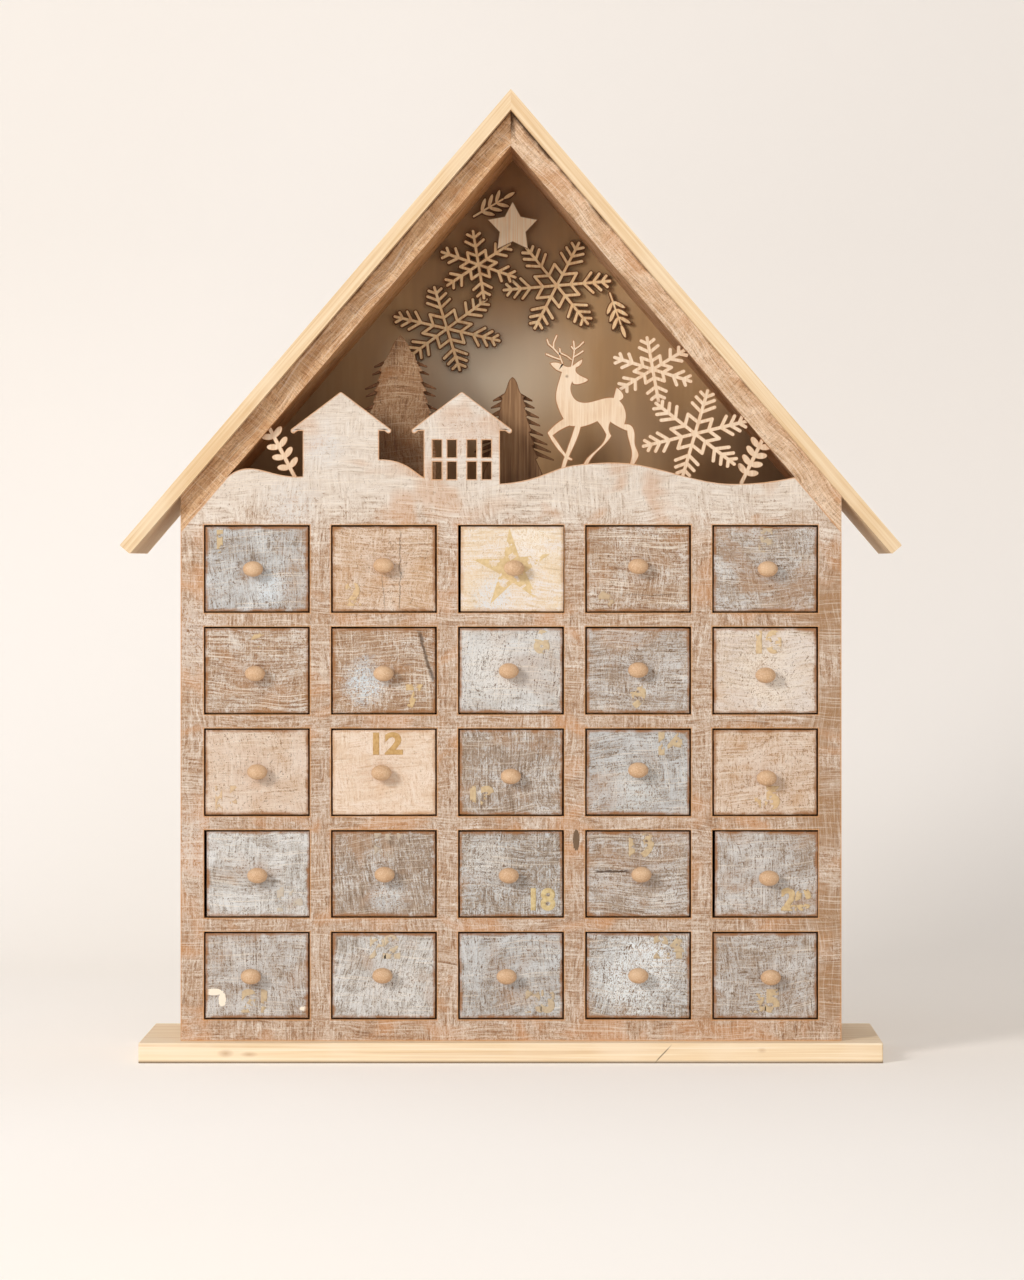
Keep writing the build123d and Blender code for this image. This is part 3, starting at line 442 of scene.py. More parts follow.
# pale pine for the roof and the base board
pitch = math.radians(49.4)
pineLook = {
    "way": (60, 0.9, 0.9), "fibre": 1.5, "band": 3.4, "cloud": 40,
    "dark": "#DDBB8E", "bare": "#E9CDA6", "pale": "#F0DABA", "bandTone": "#D9B284", "cloudTone": "#F0DABA",
    "bands": 0.45, "clouds": 0.5, "gloss": 0.5,
}
baseSpotsAndShade = [  # painted contact shadow along the lower edge all round, then three knots in the front edge
    {"middle": middle, "squeeze": squeeze, "radius": size * mm, "depth": depth, "tone": tone}
    for middle, squeeze, size, depth, tone in (
        ((0, 0, 0), (0, 0, 1), 1.5, 1.0, "#463019"), ((-0.134, -0.045, 0.0046), (0.5, 0.3, 1), 2.2, 0.55, "#A97848"),
        ((-0.123, -0.045, 0.0042), (0.35, 0.3, 1), 1.6, 0.5, "#A97848"),
        ((0.118, -0.045, 0.0060), (0.6, 0.3, 1), 1.5, 0.4, "#A97848"),
    )
]
baseSplit = {
    "way": "across", "start": (0.0685, -0.045, 0.0008), "lean": 1.1,
    "length": 7.4 * mm, "width": 0.55 * mm, "depth": 0.8,
}
baseLook = {
    **pineLook, "dark": "#F2D6AE", "bare": "#FAE3C0", "pale": "#FDEBD0", "cloudTone": "#FDEACE",
    "spotsAndShade": baseSpotsAndShade, "cracks": [baseSplit],
}
pineBoards = {
    "base_board": planedWood("pine_base_painted_shade", baseLook),
    "roof_board_left": planedWood("pine_roof_left", {**pineLook, "turn": (0, pitch, 0), "offset": (0.3, 0, 0.2)}),
    "roof_board_right": planedWood("pine_roof_right", {**pineLook, "turn": (0, -pitch, 0), "offset": (0.7, 0, 0.5)}),
}
for name, material in pineBoards.items():
    dress(nodes[name], material)
print("pine boards finished")

# thin bare boards of the carcass, and the smooth brown backdrop
plainLook = {
    "way": (1, 1, 26), "fibre": 1.1, "band": 4.0, "cloud": 30, "dark": "#B98F62", "bare": "#CFA878", "pale": "#DCBB8E",
    "bandTone": "#B48A5C", "cloudTone": "#D9B68A", "bands": 0.4, "clouds": 0.4, "gloss": 0.7, "shine": 0.2,
}
plainBoard = planedWood("plain_plywood", {**plainLook, "way": (26, 26, 1)})
pocketBoards = [kind + str(n) for kind in ("shelf_", "divider_") for n in range(1, 5)]
for name in ["scene_deck", "bottom_panel"] + pocketBoards:
    dress(nodes[name], plainBoard)
backLook = {
    "way": (1, 1, 9), "fibre": 9, "band": 26, "cloud": 60, "dark": "#AB885E", "bare": "#B28E62", "pale": "#B8956A",
    "bandTone": "#A6845F", "cloudTone": "#B99D7F", "bands": 0.25, "clouds": 0.5,
    "gloss": 0.45, "shine": 0.35, "bump": 0.03,
    "spotsAndShade": [  # a pale bloom in the middle, browner at the peak, and painted shadow at the lower right
        {"middle": middle, "squeeze": squeeze, "radius": size * mm, "depth": depth, "tone": tone}
        for middle, squeeze, size, depth, tone in (
            ((-0.014, 0.042, 0.326), (0.82, 20, 1.2), 46, 0.95, "#E7D9C0"),
            ((-0.012, 0.042, 0.43), (1.1, 30, 0.8), 72, 0.75, "#84501F"),
            ((0.135, 0.042, 0.272), (1, 30, 1), 62, 0.85, "#4E3018"),
        )
    ],
}
dress(nodes["back_panel"], planedWood("stained_backboard_painted_shade", backLook))

# zinc-plated steel for the screws under the base: fine grey grit, half dull
screwLook = {"grit": 0.8 * mm, "dark": "#9A9CA0", "pale": "#C4C6C9", "dull": (0.3, 0.5)}
steel, tree, shader = newMaterial("zinc_plated_steel")
spot = addNode(tree, "TexCoord", {}).outputs["Object"]
grit = addNode(tree, "TexNoise", {"Scale": 1 / screwLook["grit"], "Detail": 2}, (spot, "Vector")).outputs["Fac"]
tone = addNode(tree, "ValToRGB", {"stops": [(0.35, screwLook["dark"]), (0.65, screwLook["pale"])]}, (grit, "Fac"))
tree.links.new(tone.outputs[0], shader.inputs["Base Color"])
dull = addNode(tree, "MapRange", {3: screwLook["dull"][0], 4: screwLook["dull"][1]}, (grit, 0))
tree.links.new(dull.outputs[0], shader.inputs["Roughness"])
shader.inputs["Metallic"].default_value = 1
dress(nodes["base_screws"], steel)
print("carcass boards finished")

# washed front, walls and gable boards
washLook = {
    "dark": "#906B4E", "bare": "#B18A68", "warm": "#BC8453", "stain": "#E6DCD1", "stainLow": "#CFBFAF",
}
frontY = -0.035  # the face of the front board
frontPatches = [  # brown down the right side, pale on the left side, the houses and the left hill
    {"middle": (side, frontY, height), "radius": size * mm, "colour": tone, "amount": amount}
    for side, height, size, tone, amount in (
        (0.152, 0.212, 18, "#A37D59", 0.95), (0.152, 0.165, 16, "#A37D59", 0.95), (0.152, 0.118, 20, "#A37D59", 0.95),
        (0.152, 0.07, 18, "#A37D59", 0.95), (0.152, 0.035, 14, "#A37D59", 0.95),
        (-0.152, 0.2, 17, "#DDD3CA", 0.5), (-0.152, 0.1, 20, "#DDD3CA", 0.5), (-0.0236, 0.2925, 16, "#DDD3CA", 0.6),
        (-0.088, 0.29, 11, "#D9D7D6", 0.6), (-0.104, 0.262, 13, "#D6D3D1", 0.55),
    )
]
webKnot = {"middle": (0.0308, frontY, 0.1043), "squeeze": (3.2, 0, 1), "radius": 5 * mm, "tone": "#77604B"}
frontLook = {
    **washLook, "cover": 0.36, "rise": (0.243, 0.273, 0.17), "soft": 0.085, "grain": 1.2, "pores": 0.5,
    "streaks": 0.75, "warm": "#C69062", "warmth": 0.6, "patch": 0.5, "splashes": frontPatches, "chips": [webKnot],
    "scorchTone": "#CF965F", "scorch": 0.75, "scorchFrom": 0.22, "scorchTo": 0.85, "fray": 0.8,
}
frontBoard = boardFrom("front_panel", "front_panel_board", rim=0.9 * mm)
dress(frontBoard, washedWood("washed_front", frontLook))
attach(frontBoard, "house")
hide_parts("front_panel")
gableLook = {
    **washLook, "scorch": 0.95, "patch": 0.5, "soft": 0.11, "along": 1.2, "up": 0.6, "scratch": 0.35, "pores": 0.5,
}
# each gable's under tone is painted light on its faces turned down
leftGable = {
    **gableLook, "turn": pitch, "offset": (0.4, 0, 0.4), "cover": 0.46, "dark": "#946640", "bare": "#B6865C",
    "stain": "#E8C7A1", "stainLow": "#CFA478", "scorchTone": "#5E3A1C", "under": "#EDB274",
}
rightGable = {
    **gableLook, "turn": -pitch, "offset": (0.9, 0, 0.9), "cover": 0.6, "dark": "#946E4B", "bare": "#B99270",
    "stain": "#EDD6BC", "stainLow": "#D3B08B", "scorchTone": "#3E2817", "under": "#C58B54",
}
# painted shade in the seam under the roof: rim marks there are kept, strongest at the peak, and faint elsewhere
seamShade = {"width": 0.3 * mm, "peakFrom": 0.4, "peak": 1.35, "elsewhere": 0.3}
gables = (("gable_board_left", leftGable, 1.4, 0.55), ("gable_board_right", rightGable, 2.6, 0.25))
for name, look, rim, lowSeamShade in gables:
    board = boardFrom(name, name + "_front", rim=rim * mm)
    dress(board, washedWood("washed_" + name, look))
    ridgeward = [abs(v.co.x) * math.sin(pitch) + v.co.z * math.cos(pitch) for v in board.data.vertices]
    for vertex, reach, mark in zip(board.data.vertices, ridgeward, board.data.attributes["rim"].data):
        if reach < max(ridgeward) - seamShade["width"]:  # painted shade: only the seam under the roof keeps its dark rim, most of all at the peak
            mark.value *= seamShade["elsewhere"]
        elif vertex.co.z > seamShade["peakFrom"]:
            mark.value *= seamShade["peak"]
        else:
            mark.value *= lowSeamShade
    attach(board, "house")
    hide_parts(name)
wallLook = {**washLook, "cover": 0.42, "spin": math.radians(90), "patch": 0.5, "soft": 0.085}
wallWood = washedWood("washed_wall", wallLook)
for name in ("side_panel_left", "side_panel_right"):
    dress(nodes[name], wallWood)
print("washed boards finished")

# plywood cut-outs, browned by the laser
cutLook = {
    "way": (1, 1, 20), "fibre": 0.8, "band": 3.0, "cloud": 12, "dark": "#DFC0A0", "bare": "#E8CEB0", "pale": "#EDD6BC",
    "bandTone": "#DEBF9B", "cloudTone": "#EDD8BF", "bands": 0.3, "clouds": 0.4, "gloss": 0.65, "shine": 0.2,
    "scorch": 0.9, "scorchTone": "#B0763F", "scorchFrom": 0.05,
}
# the back cut-outs' dark rim is partly the laser burn and partly painted shade round the raised strips
backCutLook = {
    **cutLook, "dark": "#F2C897", "bare": "#FFDCAA", "pale": "#FFE6BC", "bandTone": "#EDC088", "cloudTone": "#FFE2B6",
    "scorch": 0.95, "scorchTone": "#673C1E", "scorchFrom": 0.02, "scorchTo": 0.35,
}
deerEye = {
    "middle": (0.0264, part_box("deer")[0].y, 0.3234), "squeeze": (1, 0.2, 1), "radius": 1.0 * mm, "depth": 0.9,
    "tone": "#80664C",
}
deerLook = {**cutLook, "bands": 0.2, "scorchTo": 0.6, "scorchTone": "#9A6232", "spotsAndShade": [deerEye]}
starLook = {
    **cutLook, "way": (1, 1, 40), "fibre": 1.0, "dark": "#F8D4A8", "bare": "#FFEBCB", "pale": "#FFF1DA",
    "bandTone": "#EEC698", "cloudTone": "#FFF0D6", "scorchTone": "#8C5E36",
}
leftFirLook = {
    **washLook, "dark": "#76533A", "bare": "#946C49", "stain": "#AF9376", "stainLow": "#9A7C5E", "warm": "#986840",
    "cover": 0.42, "scorch": 0.75, "scorchTone": "#7A4E2C", "scratchTone": "#C9AE90", "along": 0.5,
}
rightFirLook = {
    **cutLook, "way": (1, 1, 34), "fibre": 1.2, "band": 3.2, "dark": "#7C5A40", "bare": "#93704F", "pale": "#A88463",
    "bandTone": "#6C4B31", "cloudTone": "#A07C5A", "bands": 0.6, "scorchTone": "#5E3A20",
}
rearFirLook = {**rightFirLook, "dark": "#6A472C", "bare": "#7D563A", "pale": "#8C6446"}
finishes = {
    "front": planedWood("laser_cut_birch", cutLook), "deer": planedWood("laser_cut_deer", deerLook),
    "back": planedWood("laser_cut_back_birch_rim_shade", backCutLook), "star": planedWood("laser_cut_star", starLook),
    "firLeft": washedWood("fir_left_wood", leftFirLook), "firRight": planedWood("fir_right_wood", rightFirLook),
    "firRear": planedWood("fir_rear_wood", rearFirLook),
}
cutOuts = (  # name, finish, width of the rim in millimetres, slot
    ("deer", "deer", 0.55, "cutout_ply"), ("snowflake_front_upper", "front", 0.25, "cutout_ply"),
    ("snowflake_front_lower", "front", 0.25, "cutout_ply"), ("sprig_left", "front", 0.25, "cutout_ply"),
    ("sprig_right", "front", 0.25, "cutout_ply"), ("fir_left", "firLeft", 0.6, "fir_ply"),
    ("fir_right", "firRight", 0.6, "fir_ply"), ("fir_left_rear", "firRear", 0.4, "fir_ply"),
    ("fir_right_rear", "firRear", 0.4, "fir_ply"), ("snowflake_back_left", "back", 0.65, "back_ply"),
    ("snowflake_back_right", "back", 0.65, "back_ply"), ("snowflake_back_top", "back", 0.65, "back_ply"),
    ("sprig_back_right", "back", 0.65, "back_ply"), ("sprig_back_top", "back", 0.65, "back_ply"),
    ("star", "star", 0.4, "back_ply"),
)
for name, finish, rim, slot in cutOuts:
    cutOut = boardFrom(name, name + "_cut", rim=rim * mm)
    dress(cutOut, finishes[finish])
    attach(cutOut, "house")
    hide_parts(name)
print("cut-outs finished")

# drawer front: one plate, modelled once, copied for each drawer
plate = {
    "width": 48.5 * mm, "height": 40 * mm, "thick": 5 * mm, "cuts": 13, "ease": 0.55 * mm, "easeSteps": 3,
    "rim": 2.0 * mm, "lean": 0.2, "wear": 0.14 * mm, "wearSize": 4 * mm, "wearDepth": 1.5 * mm, "wearSeed": 5,
}
bpy.ops.object.select_all(action="DESELECT")
bpy.ops.mesh.primitive_cube_add(size=1, location=(0, plate["thick"] / 2, 0))
plateModel = bpy.context.object
plateModel.scale = (plate["width"], plate["thick"], plate["height"])
bpy.ops.object.transform_apply(location=True, scale=True)
bpy.ops.object.mode_set(mode="EDIT")
bpy.ops.mesh.select_all(action="SELECT")
bpy.ops.mesh.subdivide(number_cuts=plate["cuts"])
bpy.ops.mesh.select_all(action="DESELECT")
bpy.ops.object.mode_set(mode="OBJECT")
for edge in plateModel.data.edges:
    ends = [plateModel.data.vertices[v].co for v in edge.vertices]
    onFront = all(p.y < touching for p in ends)
    onSide = all(abs(abs(p.x) - plate["width"] / 2) < touching for p in ends)
    onLevel = all(abs(abs(p.z) - plate["height"] / 2) < touching for p in ends)
    edge.select = onFront and (onSide or onLevel)
bpy.ops.object.mode_set(mode="EDIT")
bpy.ops.mesh.select_mode(type="EDGE")
bpy.ops.mesh.bevel(offset=plate["ease"], segments=plate["easeSteps"], profile=0.5)
bpy.ops.object.mode_set(mode="OBJECT")
markRim(plateModel, plate["rim"])
print("drawer front modelled")

# tray: two sides, a bottom and a back, butted and eased
tray = {
    "width": 48 * mm, "height": 33 * mm, "length": 71.5 * mm, "wall": 3 * mm, "floor": 2.5 * mm, "ease": 0.35 * mm,
    "easeSteps": 2, "drop": 20.7 * mm,
}
width, height, length, wall, floor = [tray[key] for key in ("width", "height", "length", "wall", "floor")]
sideX, inWidth = (width - wall) / 2, width - 2 * wall
trayBoards = (  # middle and size of each board, with the plate's back at zero
    ((-sideX, length / 2, height / 2), (wall, length, height)),
    ((sideX, length / 2, height / 2), (wall, length, height)),
    ((0, length / 2, floor / 2), (inWidth, length, floor)),
    ((0, length - wall / 2, (height + floor) / 2), (inWidth, wall, height - floor)),
)
boards = []
for middle, size in trayBoards:
    bpy.ops.object.select_all(action="DESELECT")
    bpy.ops.mesh.primitive_cube_add(size=1, location=middle)
    board = bpy.context.object
    board.scale = size
    bpy.ops.object.transform_apply(location=True, scale=True)
    bpy.ops.object.mode_set(mode="EDIT")
    bpy.ops.mesh.select_all(action="SELECT")
    bpy.ops.mesh.bevel(offset=tray["ease"], segments=tray["easeSteps"])
    bpy.ops.object.mode_set(mode="OBJECT")
    boards.append(board)
only(boards[0])
for board in boards:
    board.select_set(True)
bpy.ops.object.join()
trayModel = bpy.context.object
trayModel.data.transform(Matrix.Translation((0, plate["thick"], -tray["drop"])))
bpy.ops.object.shade_smooth_by_angle(angle=smoothBelow)
print("tray modelled")

# knob: an oval turned head on a short round neck, drawn out ring by ring
knob = {
    "neck": 2.4 * mm, "half": (4.8 * mm, 3.7 * mm), "corners": 40, "flare": 0.6, "smoothBelow": math.radians(50),
    "stand": 8.5 * mm, "headFrom": 4 * mm,  # how far the CAD knob stands out, and where its head starts
    "rings": (  # depth in front of the plate in millimetres, and the share of the oval (under 0.1 is the round neck)
        (-0.4, 0), (0.0, 0), (2.6, 0), (3.3, 0.08), (3.55, 0.62), (3.75, 0.86), (4.2, 0.97), (4.9, 1.0), (5.6, 0.985),
        (6.3, 0.93), (7.0, 0.83), (7.6, 0.69), (8.05, 0.51), (8.35, 0.30), (8.48, 0.13),
    ),
}
bpy.ops.object.select_all(action="DESELECT")
bpy.ops.mesh.primitive_circle_add(
    vertices=knob["corners"], radius=knob["neck"], rotation=(math.radians(90), 0, 0), fill_type="NGON"
)
knobModel = bpy.context.object
bpy.ops.object.transform_apply(rotation=True)
width, height, depth = knob["neck"], knob["neck"], knob["rings"][0][0]
bpy.ops.object.mode_set(mode="EDIT")
bpy.ops.mesh.select_mode(type="FACE")
bpy.ops.mesh.select_all(action="SELECT")
bpy.ops.transform.translate(value=(0, -depth * mm, 0))
for nextDepth, share in knob["rings"][1:]:
    if share < 0.1:
        nextWidth = nextHeight = knob["neck"] * (1 + knob["flare"] * share)
    else:
        nextWidth, nextHeight = knob["half"][0] * share, knob["half"][1] * share
    bpy.ops.mesh.extrude_region_move(TRANSFORM_OT_translate={"value": (0, -(nextDepth - depth) * mm, 0)})
    growth = (nextWidth / width, 1, nextHeight / height)
    bpy.ops.transform.resize(value=growth, center_override=(0, -nextDepth * mm, 0))
    width, height, depth = nextWidth, nextHeight, nextDepth
bpy.ops.mesh.poke()
bpy.ops.mesh.select_all(action="SELECT")
bpy.ops.mesh.normals_make_consistent(inside=False)
bpy.ops.object.mode_set(mode="OBJECT")
bpy.ops.object.shade_smooth_by_angle(angle=knob["smoothBelow"])
print("knob modelled")

# the numbers and the star: how their leaf is cut and worn, and its two tones
number = {
    "height": 13.8 * mm, "bold": 0.55 * mm, "boldWorn": 0.55 * mm, "thick": 0.06 * mm, "wideOne": 12, "wide": 1.22,
    "shard": 1.3 * mm, "cuts": (17, 74, 133), "clump": 4.2 * mm, "lost": 0.75,
}
leafStar = {"drawer": 3, "points": 5, "outer": 19.5 * mm, "inner": 6.4 * mm, "lean": 4}
numberSpots = {  # millimetres from the front's middle
    "topLeft": (-17.5, 12.5), "topMiddle": (0.5, 13), "topRight": (14.5, 13), "lowLeft": (-14.5, -12.5),
    "lowMiddle": (0, -12.5), "lowRight": (14, -12.5), "middle": (0, 0),
}
goldLook = {"grain": 1.6 * mm, "thin": 0.85, "dull": (0.45, 0.75)}
plainGold = ("#CCA564", "#E1C183")
goldTones = {3: ("#CBA75A", "#DFC07E"), 12: ("#B98F52", "#CDA66C"), 18: ("#C4AA76", "#D8C494")}  # others are plain


def goldLeaf(name, under, worn, tones):
    # gold leaf, thin and dull, letting the stain below show where it is rubbed
    material, tree, shader = newMaterial(name)
    spot = addNode(tree, "TexCoord", {}).outputs["Object"]
    rub = addNode(tree, "TexNoise", {"Scale": 1 / goldLook["grain"], "Detail": 3}, (spot, "Vector")).outputs["Fac"]
    tone = addNode(tree, "ValToRGB", {"stops": [(0.36, tones[0]), (0.62, tones[1])]}, (rub, "Fac")).outputs[0]
    tone = addNode(tree, "Mix", {**rgba, 0: goldLook["thin"] * worn, 7: hexColour(under)}, (tone, 6)).outputs[2]
    tree.links.new(tone, shader.inputs["Base Color"])
    dull = addNode(tree, "MapRange", {3: goldLook["dull"][0], 4: goldLook["dull"][1]}, (rub, 0)).outputs[0]
    tree.links.new(dull, shader.inputs["Roughness"])
    return material


def flatLeaf(count, worn):
    # the star, or the drawer's number in Blender's own font, lying flat
    bpy.ops.object.select_all(action="DESELECT")
    if count == leafStar["drawer"]:
        bpy.ops.mesh.primitive_circle_add(vertices=2 * leafStar["points"], radius=leafStar["outer"], fill_type="NGON")
        leaf = bpy.context.object
        for vertex in leaf.data.vertices:
            if vertex.index % 2:
                vertex.co *= leafStar["inner"] / leafStar["outer"]
        leaf.data.transform(Matrix.Rotation(math.radians(leafStar["lean"]), 4, "Z"))
        return leaf
    bpy.ops.object.text_add()
    text = bpy.context.object.data
    text.body = str(count)
    text.size = number["height"]
    text.offset = number["bold"] + worn * number["boldWorn"]
    text.align_x, text.align_y = "CENTER", "CENTER"
    bpy.ops.object.convert(target="MESH")
    leaf = bpy.context.object
    if count == number["wideOne"]:
        leaf.data.transform(Matrix.Scale(number["wide"], 4, (1, 0, 0)))
    return leaf


def wornLeaf(leaf, share, seed):
    # slanting cuts break the leaf into shards, and the ones in the rubbed clumps are lost
    rng = random.Random(seed)
    only(leaf)
    corners = [v.co for v in leaf.data.vertices]
    middle = sum(corners, Vector()) / len(corners)
    reach = max((p - middle).length for p in corners)
    steps = int(reach / number["shard"]) + 1
    bpy.ops.object.mode_set(mode="EDIT")
    for turn in number["cuts"]:
        angle = math.radians(turn + rng.uniform(-9, 9))
        across = Vector((math.cos(angle), 0, math.sin(angle)))
        for step in range(-steps, steps + 1):
            bpy.ops.mesh.select_all(action="SELECT")
            spot = middle + across * (step + rng.uniform(-0.35, 0.35)) * number["shard"]
            bpy.ops.mesh.bisect(plane_co=spot, plane_no=across)
    bpy.ops.mesh.select_mode(type="FACE")
    bpy.ops.mesh.select_all(action="DESELECT")
    bpy.ops.object.mode_set(mode="OBJECT")
    shift = Vector((rng.uniform(0, 50), 0, rng.uniform(0, 50)))
    faces = list(leaf.data.polygons)
    rubbed = {f.index: noise.fractal(f.center / number["clump"] + shift, 0.9, 2.1, 3) for f in faces}
    lost, limit = 0.0, share * sum(f.area for f in faces)
    for face in sorted(faces, key=lambda f: rubbed[f.index]):
        if lost >= limit:
            break
        face.select = True
        lost += face.area
    bpy.ops.object.mode_set(mode="EDIT")
    bpy.ops.mesh.delete(type="FACE")
    bpy.ops.object.mode_set(mode="OBJECT")
    body = leaf.modifiers.new("body", "SOLIDIFY")
    body.thickness = number["thick"]
    body.offset = 1
    bpy.ops.object.modifier_apply(modifier=body.name)


knobWood = planedWood("beech_knob", {
    "way": (1, 14, 1), "fibre": 0.6, "band": 1.8, "cloud": 8, "dark": "#C8A07A", "bare": "#D3AE89", "pale": "#DFBF9D",
    "bandTone": "#CDA27A", "cloudTone": "#E4C5A2", "bands": 0.35, "clouds": 0.4,
    "gloss": 0.4, "shine": 0.4, "bump": 0.08,
})
trayWood = planedWood("tray_plywood", {**plainLook, "way": (1, 24, 1), "fibre": 1.2})

# stain colours that the drawer fronts share
stainParts = ("dark", "bare", "warm", "stain", "stainLow")
stains = {
    "coolGrey": ("#7C6D60", "#9B8977", "#AA8666", "#CDCECE", "#ACA9A7"),
    "greyBrown": ("#7F6B58", "#A28C78", "#AD8868", "#D1CECB", "#B3ABA5"),
    "warmTan": ("#A98260", "#C19E7D", "#C39970", "#E0CEBE", "#CFB49C"),
    "brownRed": ("#89654C", "#AB896A", "#B1845C", "#D6CDC4", "#BAA694"),
    "whiteGrey": ("#877D72", "#A89A8C", "#B3947A", "#DAD9D7", "#BEBAB6"),
    "creamWhite": ("#B8A087", "#CAB299", "#CCAB8B", "#E1D6CD", "#D4C3B5"),
    "freshPeach": ("#D3B193", "#E0C5AA", "#DDBA99", "#EDDAC9", "#E4CDB6"),
    "paleCream": ("#DEC39F", "#E6D0B1", "#EAD2AD", "#E9E0DB", "#E6D7C5"),
}
frontEdge = {"scorchTone": "#9A683E", "scorch": 0.9, "scorchFrom": 0.5}
freshWood = {"pores": 0.4, "scratch": 0.3, "scorch": 0.55, "scorchTone": "#B98450"}
stainExtras = {"brownRed": {"scratch": 0.6}, "freshPeach": freshWood, "paleCream": freshWood}
openPored = {"drawers": (8, 18, 24), "pores": 1.4}
# each drawer: stain, cover, strength of streaks along and up the face, where its number stands, share worn away
drawerLooks = {
    1: ("coolGrey", 0.62, 0.4, 1.2, "topLeft", 0.40), 2: ("warmTan", 0.52, 1.1, 0.6, "lowLeft", 0.55),
    3: ("paleCream", 0.45, 0.9, 0.3, "middle", 0.35), 4: ("brownRed", 0.48, 0.9, 0.9, "lowLeft", 0.78),
    5: ("greyBrown", 0.50, 1.1, 0.6, "topMiddle", 0.70), 6: ("brownRed", 0.44, 1.2, 0.5, "topMiddle", 0.55),
    7: ("brownRed", 0.36, 0.9, 0.8, "lowRight", 0.40), 8: ("whiteGrey", 0.72, 0.5, 0.9, "topRight", 0.50),
    9: ("greyBrown", 0.52, 1.1, 0.7, "lowMiddle", 0.50), 10: ("creamWhite", 0.62, 1.2, 0.6, "topMiddle", 0.45),
    11: ("warmTan", 0.78, 0.8, 1.0, "lowLeft", 0.78), 12: ("freshPeach", 0.52, 0.8, 0.8, "topMiddle", 0),
    13: ("greyBrown", 0.40, 0.6, 1.1, "lowLeft", 0.45), 14: ("coolGrey", 0.62, 1.1, 0.8, "topRight", 0.50),
    15: ("warmTan", 0.60, 0.8, 0.9, "lowMiddle", 0.55), 16: ("whiteGrey", 0.60, 0.9, 1.0, "lowRight", 0.85),
    17: ("greyBrown", 0.36, 0.5, 1.3, "topMiddle", 0.85), 18: ("coolGrey", 0.42, 0.8, 0.9, "lowRight", 0),
    19: ("greyBrown", 0.47, 1.3, 0.5, "topMiddle", 0.50), 20: ("greyBrown", 0.58, 0.7, 1.1, "lowRight", 0.35),
    21: ("greyBrown", 0.60, 0.6, 1.1, "lowMiddle", 0.55), 22: ("whiteGrey", 0.58, 0.5, 1.3, "topMiddle", 0.60),
    23: ("coolGrey", 0.60, 0.7, 1.1, "lowRight", 0.60), 24: ("coolGrey", 0.48, 0.8, 0.8, "topRight", 0.55),
    25: ("greyBrown", 0.54, 0.9, 1.0, "lowMiddle", 0.50),
}
splashMarks = {  # place from the front's middle and size in millimetres, tone, amount
    1: [(5, -9, 9, "#D6DDE2", 0.8)], 7: [(-8, -6, 10.5, "#CFDAE1", 0.95)], 8: [(-8, 2, 14, "#EAE8E4", 0.7)],
    3: [(-8, -14, 10, "#DEDEE0", 0.95), (8, 12, 12, "#F8F0E4", 0.6)], 17: [(2, -9, 8, "#D3D8DB", 0.7)],
    18: [(-12, 6, 12, "#DCDAD6", 0.7)], 24: [(-1, 1, 20, "#E6EBED", 1)], 14: [(-2, -6, 12, "#DADDDC", 0.6)],
    22: [(6, -4, 12, "#E4E2DF", 0.6)], 10: [(2, -4, 16, "#F4EBDD", 0.6)],
}
# each split: direction, start from the front's middle in millimetres, lean, length and width in millimetres, strength
splitMarks = {
    2: [("up", 7, -19, 0.02, 38, 0.4, 0.55), ("up", 0, -19, -0.03, 17, 0.3, 0.45)],
    7: [("up", 23.0, -5, -0.28, 25, 1.3, 0.75)], 19: [("across", -20, 1, 0.0, 17, 0.75, 0.9)],
    4: [("across", -8, -12, 0.02, 26, 0.35, 0.45)], 13: [("up", 12, -2, 0.1, 20, 0.35, 0.5)],
}
chipMarks = {  # place from the front's middle and size in millimetres, squeeze
    21: [(-20.6, -7.7, 4.6, (1, 0, 3)), (-16.3, -11.2, 3.2, (1.9, 0, 1)), (22.4, -15.6, 2.4, (1, 0, 2.4))],
}
chipTone = "#FBEEDB"


def stainFor(count, middle, rng):
    stainName, cover, along, up = drawerLooks[count][:4]
    look = {
        **dict(zip(stainParts, stains[stainName])), **frontEdge, "cover": cover, "along": along, "up": up,
        "offset": (rng.uniform(-3, 3), 0, rng.uniform(-3, 3)), "turn": math.radians(rng.uniform(-6, 6)),
        "splashes": [
            {"middle": middle + Vector((x, 0, z)) * mm, "radius": size * mm, "colour": tone, "amount": amount}
            for x, z, size, tone, amount in splashMarks.get(count, ())
        ],
        "cracks": [
            {"way": way, "start": middle + Vector((x, 0, z)) * mm, "lean": lean, "length": length * mm,
             "width": width * mm, "depth": depth}
            for way, x, z, lean, length, width, depth in splitMarks.get(count, ())
        ],
        "chips": [
            {"middle": middle + Vector((x, 0, z)) * mm, "squeeze": squeeze, "radius": size * mm, "tone": chipTone}
            for x, z, size, squeeze in chipMarks.get(count, ())
        ],
        **stainExtras.get(stainName, {}),
    }
    if count in openPored["drawers"]:
        look["pores"] = openPored["pores"]
    return look


def copyOf(model, name, place):
    piece = bpy.data.objects.new(name, model.data.copy())
    scene.collection.objects.link(piece)
    piece.data.transform(place)
    return piece


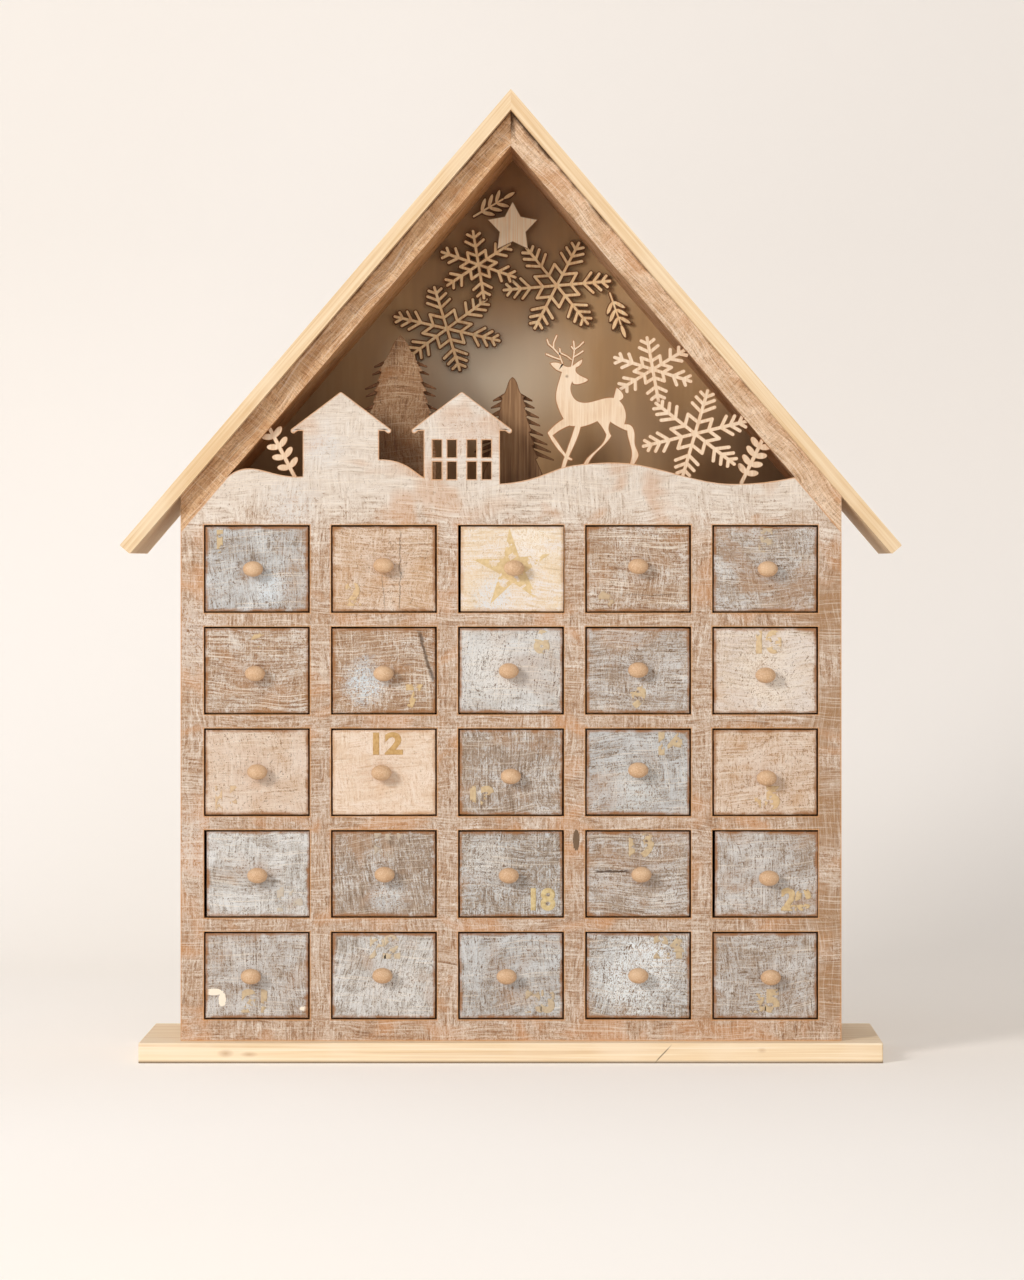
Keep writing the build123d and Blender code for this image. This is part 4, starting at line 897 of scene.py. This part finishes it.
noise.seed_set(plate["wearSeed"])  # the knocks are the same each run
for count in range(1, 26):
    label = "drawer_" + format(count, "02d")
    body = label + "_body"
    low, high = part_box(label)
    faceY = low.y + knob["stand"]
    middle = Vector(((low.x + high.x) / 2, faceY, high.z - plate["height"] / 2))
    rng = random.Random(count)
    stain = stainFor(count, middle, rng)
    spotName, worn = drawerLooks[count][4:]

    lean = Matrix.Rotation(math.radians(rng.uniform(-plate["lean"], plate["lean"])), 4, "Y")
    front = copyOf(plateModel, label + "_front", Matrix.Translation(middle) @ lean)
    for vertex, mark in zip(front.data.vertices, front.data.attributes["rim"].data):
        if mark.value > 0.5 and vertex.co.y < faceY + plate["wearDepth"]:  # knocks along the eased edge
            vertex.co += Vector(noise.noise_vector(vertex.co / plate["wearSize"])) * plate["wear"]
    only(front)
    bpy.ops.object.shade_smooth_by_angle(angle=smoothBelow)
    dress(front, washedWood(label + "_stain", stain))

    box = copyOf(trayModel, label + "_tray", Matrix.Translation(middle))
    dress(box, trayWood)

    head = [v.co for v in nodes[label].data.vertices if v.co.y < faceY - knob["headFrom"]]
    knobX = (min(p.x for p in head) + max(p.x for p in head)) / 2
    knobZ = (min(p.z for p in head) + max(p.z for p in head)) / 2
    pull = copyOf(knobModel, label + "_knob", Matrix.Translation((knobX, faceY, knobZ)))
    dress(pull, knobWood)

    leaf = flatLeaf(count, worn)
    leaf.name = label + "_leaf"
    spotX, spotZ = numberSpots[spotName]
    place = Matrix.Translation(middle + Vector((spotX * mm, 0, spotZ * mm)))
    leaf.data.transform(place @ Matrix.Rotation(math.radians(90), 4, "X"))
    wornLeaf(leaf, worn * number["lost"], count + 100)
    dress(leaf, goldLeaf(label + "_gold", stain["stainLow"], worn, goldTones.get(count, plainGold)))

    for piece, slot in ((front, "drawer_wash"), (box, "plain_ply"), (pull, "pine"), (leaf, "drawer_wash")):
        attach(piece, body)
    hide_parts(label)
for model in (plateModel, trayModel, knobModel):
    bpy.data.objects.remove(model)
print("drawers finished")
